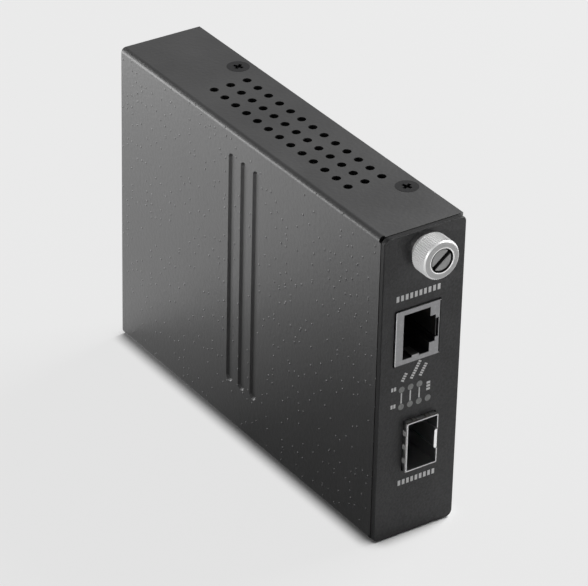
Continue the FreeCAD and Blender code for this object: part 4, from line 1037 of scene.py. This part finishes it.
def make_floor():
    """Wide square floor just below the case."""
    mesh = bpy.data.meshes.new("floor")
    corners = [(-1, -1), (1, -1), (1, 1), (-1, 1)]
    mesh.from_pydata([(x * FLOOR_REACH, y * FLOOR_REACH, -FLOOR_DROP) for x, y in corners],
                     [], [(0, 1, 2, 3)])
    mesh.materials.append(floor_material())
    floor = bpy.data.objects.new("floor", mesh)
    bpy.context.scene.collection.objects.link(floor)


def make_world():
    """Even light from all round, and the pale background where a ray looks past the floor."""
    world = bpy.data.worlds.new("studio")
    bpy.context.scene.world = world
    world.use_nodes = True
    nodes = world.node_tree.nodes
    links = world.node_tree.links
    light = nodes["Background"]
    light.inputs["Color"].default_value = (1, 1, 1, 1)
    light.inputs["Strength"].default_value = WORLD_STRENGTH
    seen = nodes.new("ShaderNodeBackground")
    seen.inputs["Color"].default_value = (BACKGROUND, BACKGROUND, BACKGROUND, 1)
    mix = nodes.new("ShaderNodeMixShader")
    links.new(background_share(world.node_tree, WORLD_EVENNESS_MIRRORED, 1.0), mix.inputs["Fac"])
    links.new(light.outputs["Background"], mix.inputs[1])
    links.new(seen.outputs["Background"], mix.inputs[2])
    links.new(mix.outputs["Shader"], nodes["World Output"].inputs["Surface"])


def place_lamp(data, place, target, power):
    """Stands a lamp of the given power in watts at a place in metres, turned to a target."""
    data.energy = power
    lamp = bpy.data.objects.new(data.name, data)
    lamp.location = place
    lamp.rotation_euler = (Vector(target) - Vector(place)).to_track_quat("-Z", "Y").to_euler()
    bpy.context.scene.collection.objects.link(lamp)


def soft_lamp(name, place, size, power):
    """Rectangular lamp turned to the middle of the case."""
    data = bpy.data.lights.new(name, "AREA")
    data.shape = "RECTANGLE"
    data.size, data.size_y = size
    place_lamp(data, place, LAMP_TARGET, power)


def narrow_lamp(name, place, target, spread, size, power):
    """Spot lamp whose cone has the given radius at its target."""
    data = bpy.data.lights.new(name, "SPOT")
    reach = (Vector(target) - Vector(place)).length
    data.spot_size = 2 * math.atan(spread / reach)
    data.spot_blend = 0.5
    data.shadow_soft_size = size
    place_lamp(data, place, target, power)


def make_lamps():
    """A large lamp from the right, two low ones behind, one front right and a spot on the knob."""
    soft_lamp("right_lamp", (0.756, 0.05, 0.611), size=(0.5, 0.5), power=16.0)
    soft_lamp("rear_lamp", (-0.10, 0.5, 0.15), size=(0.3, 0.15), power=0.55)
    soft_lamp("rear_left_glow", (-0.155, 0.22, 0.06), size=(0.2, 0.11), power=0.18)
    soft_lamp("front_right_lamp", (0.85, -0.6, 0.22), size=(0.3, 0.3), power=2.0)
    narrow_lamp("knob_lamp", (-0.55, -0.35, 0.30), KNOB_LAMP_TARGET, spread=0.01, size=0.004, power=14.0)


def make_camera():
    """Camera at the photograph's angle, rolled a little."""
    turn = math.radians(CAMERA_TURN)
    height = math.radians(CAMERA_HEIGHT)
    roll = math.radians(CAMERA_ROLL)
    back = Vector((math.sin(turn) * math.cos(height), -math.cos(turn) * math.cos(height),
                   math.sin(height)))
    level = Vector((0, 0, 1)).cross(back).normalized()
    upright = back.cross(level)
    right = math.cos(roll) * level + math.sin(roll) * upright
    up = math.cos(roll) * upright - math.sin(roll) * level
    data = bpy.data.cameras.new("camera")
    data.sensor_width = SENSOR_WIDTH
    data.lens = FOCAL_PIXELS / PHOTO_WIDTH * SENSOR_WIDTH
    data.clip_end = 20
    camera = bpy.data.objects.new("camera", data)
    place = LOOK_AT + CAMERA_RIGHT * right - CAMERA_DOWN * up + CAMERA_DISTANCE * back
    axes = Matrix((right, up, back)).transposed().to_4x4()
    camera.matrix_world = Matrix.Translation(place) @ axes
    bpy.context.scene.collection.objects.link(camera)
    bpy.context.scene.camera = camera


dress_frame()
cover_screws()
knurled_knob()
threaded_stud()
print_bars()
lamp_lenses()
small_parts()
solder_joints()
make_floor()
make_world()
make_lamps()
make_camera()
bpy.context.scene.view_settings.view_transform = "Standard"
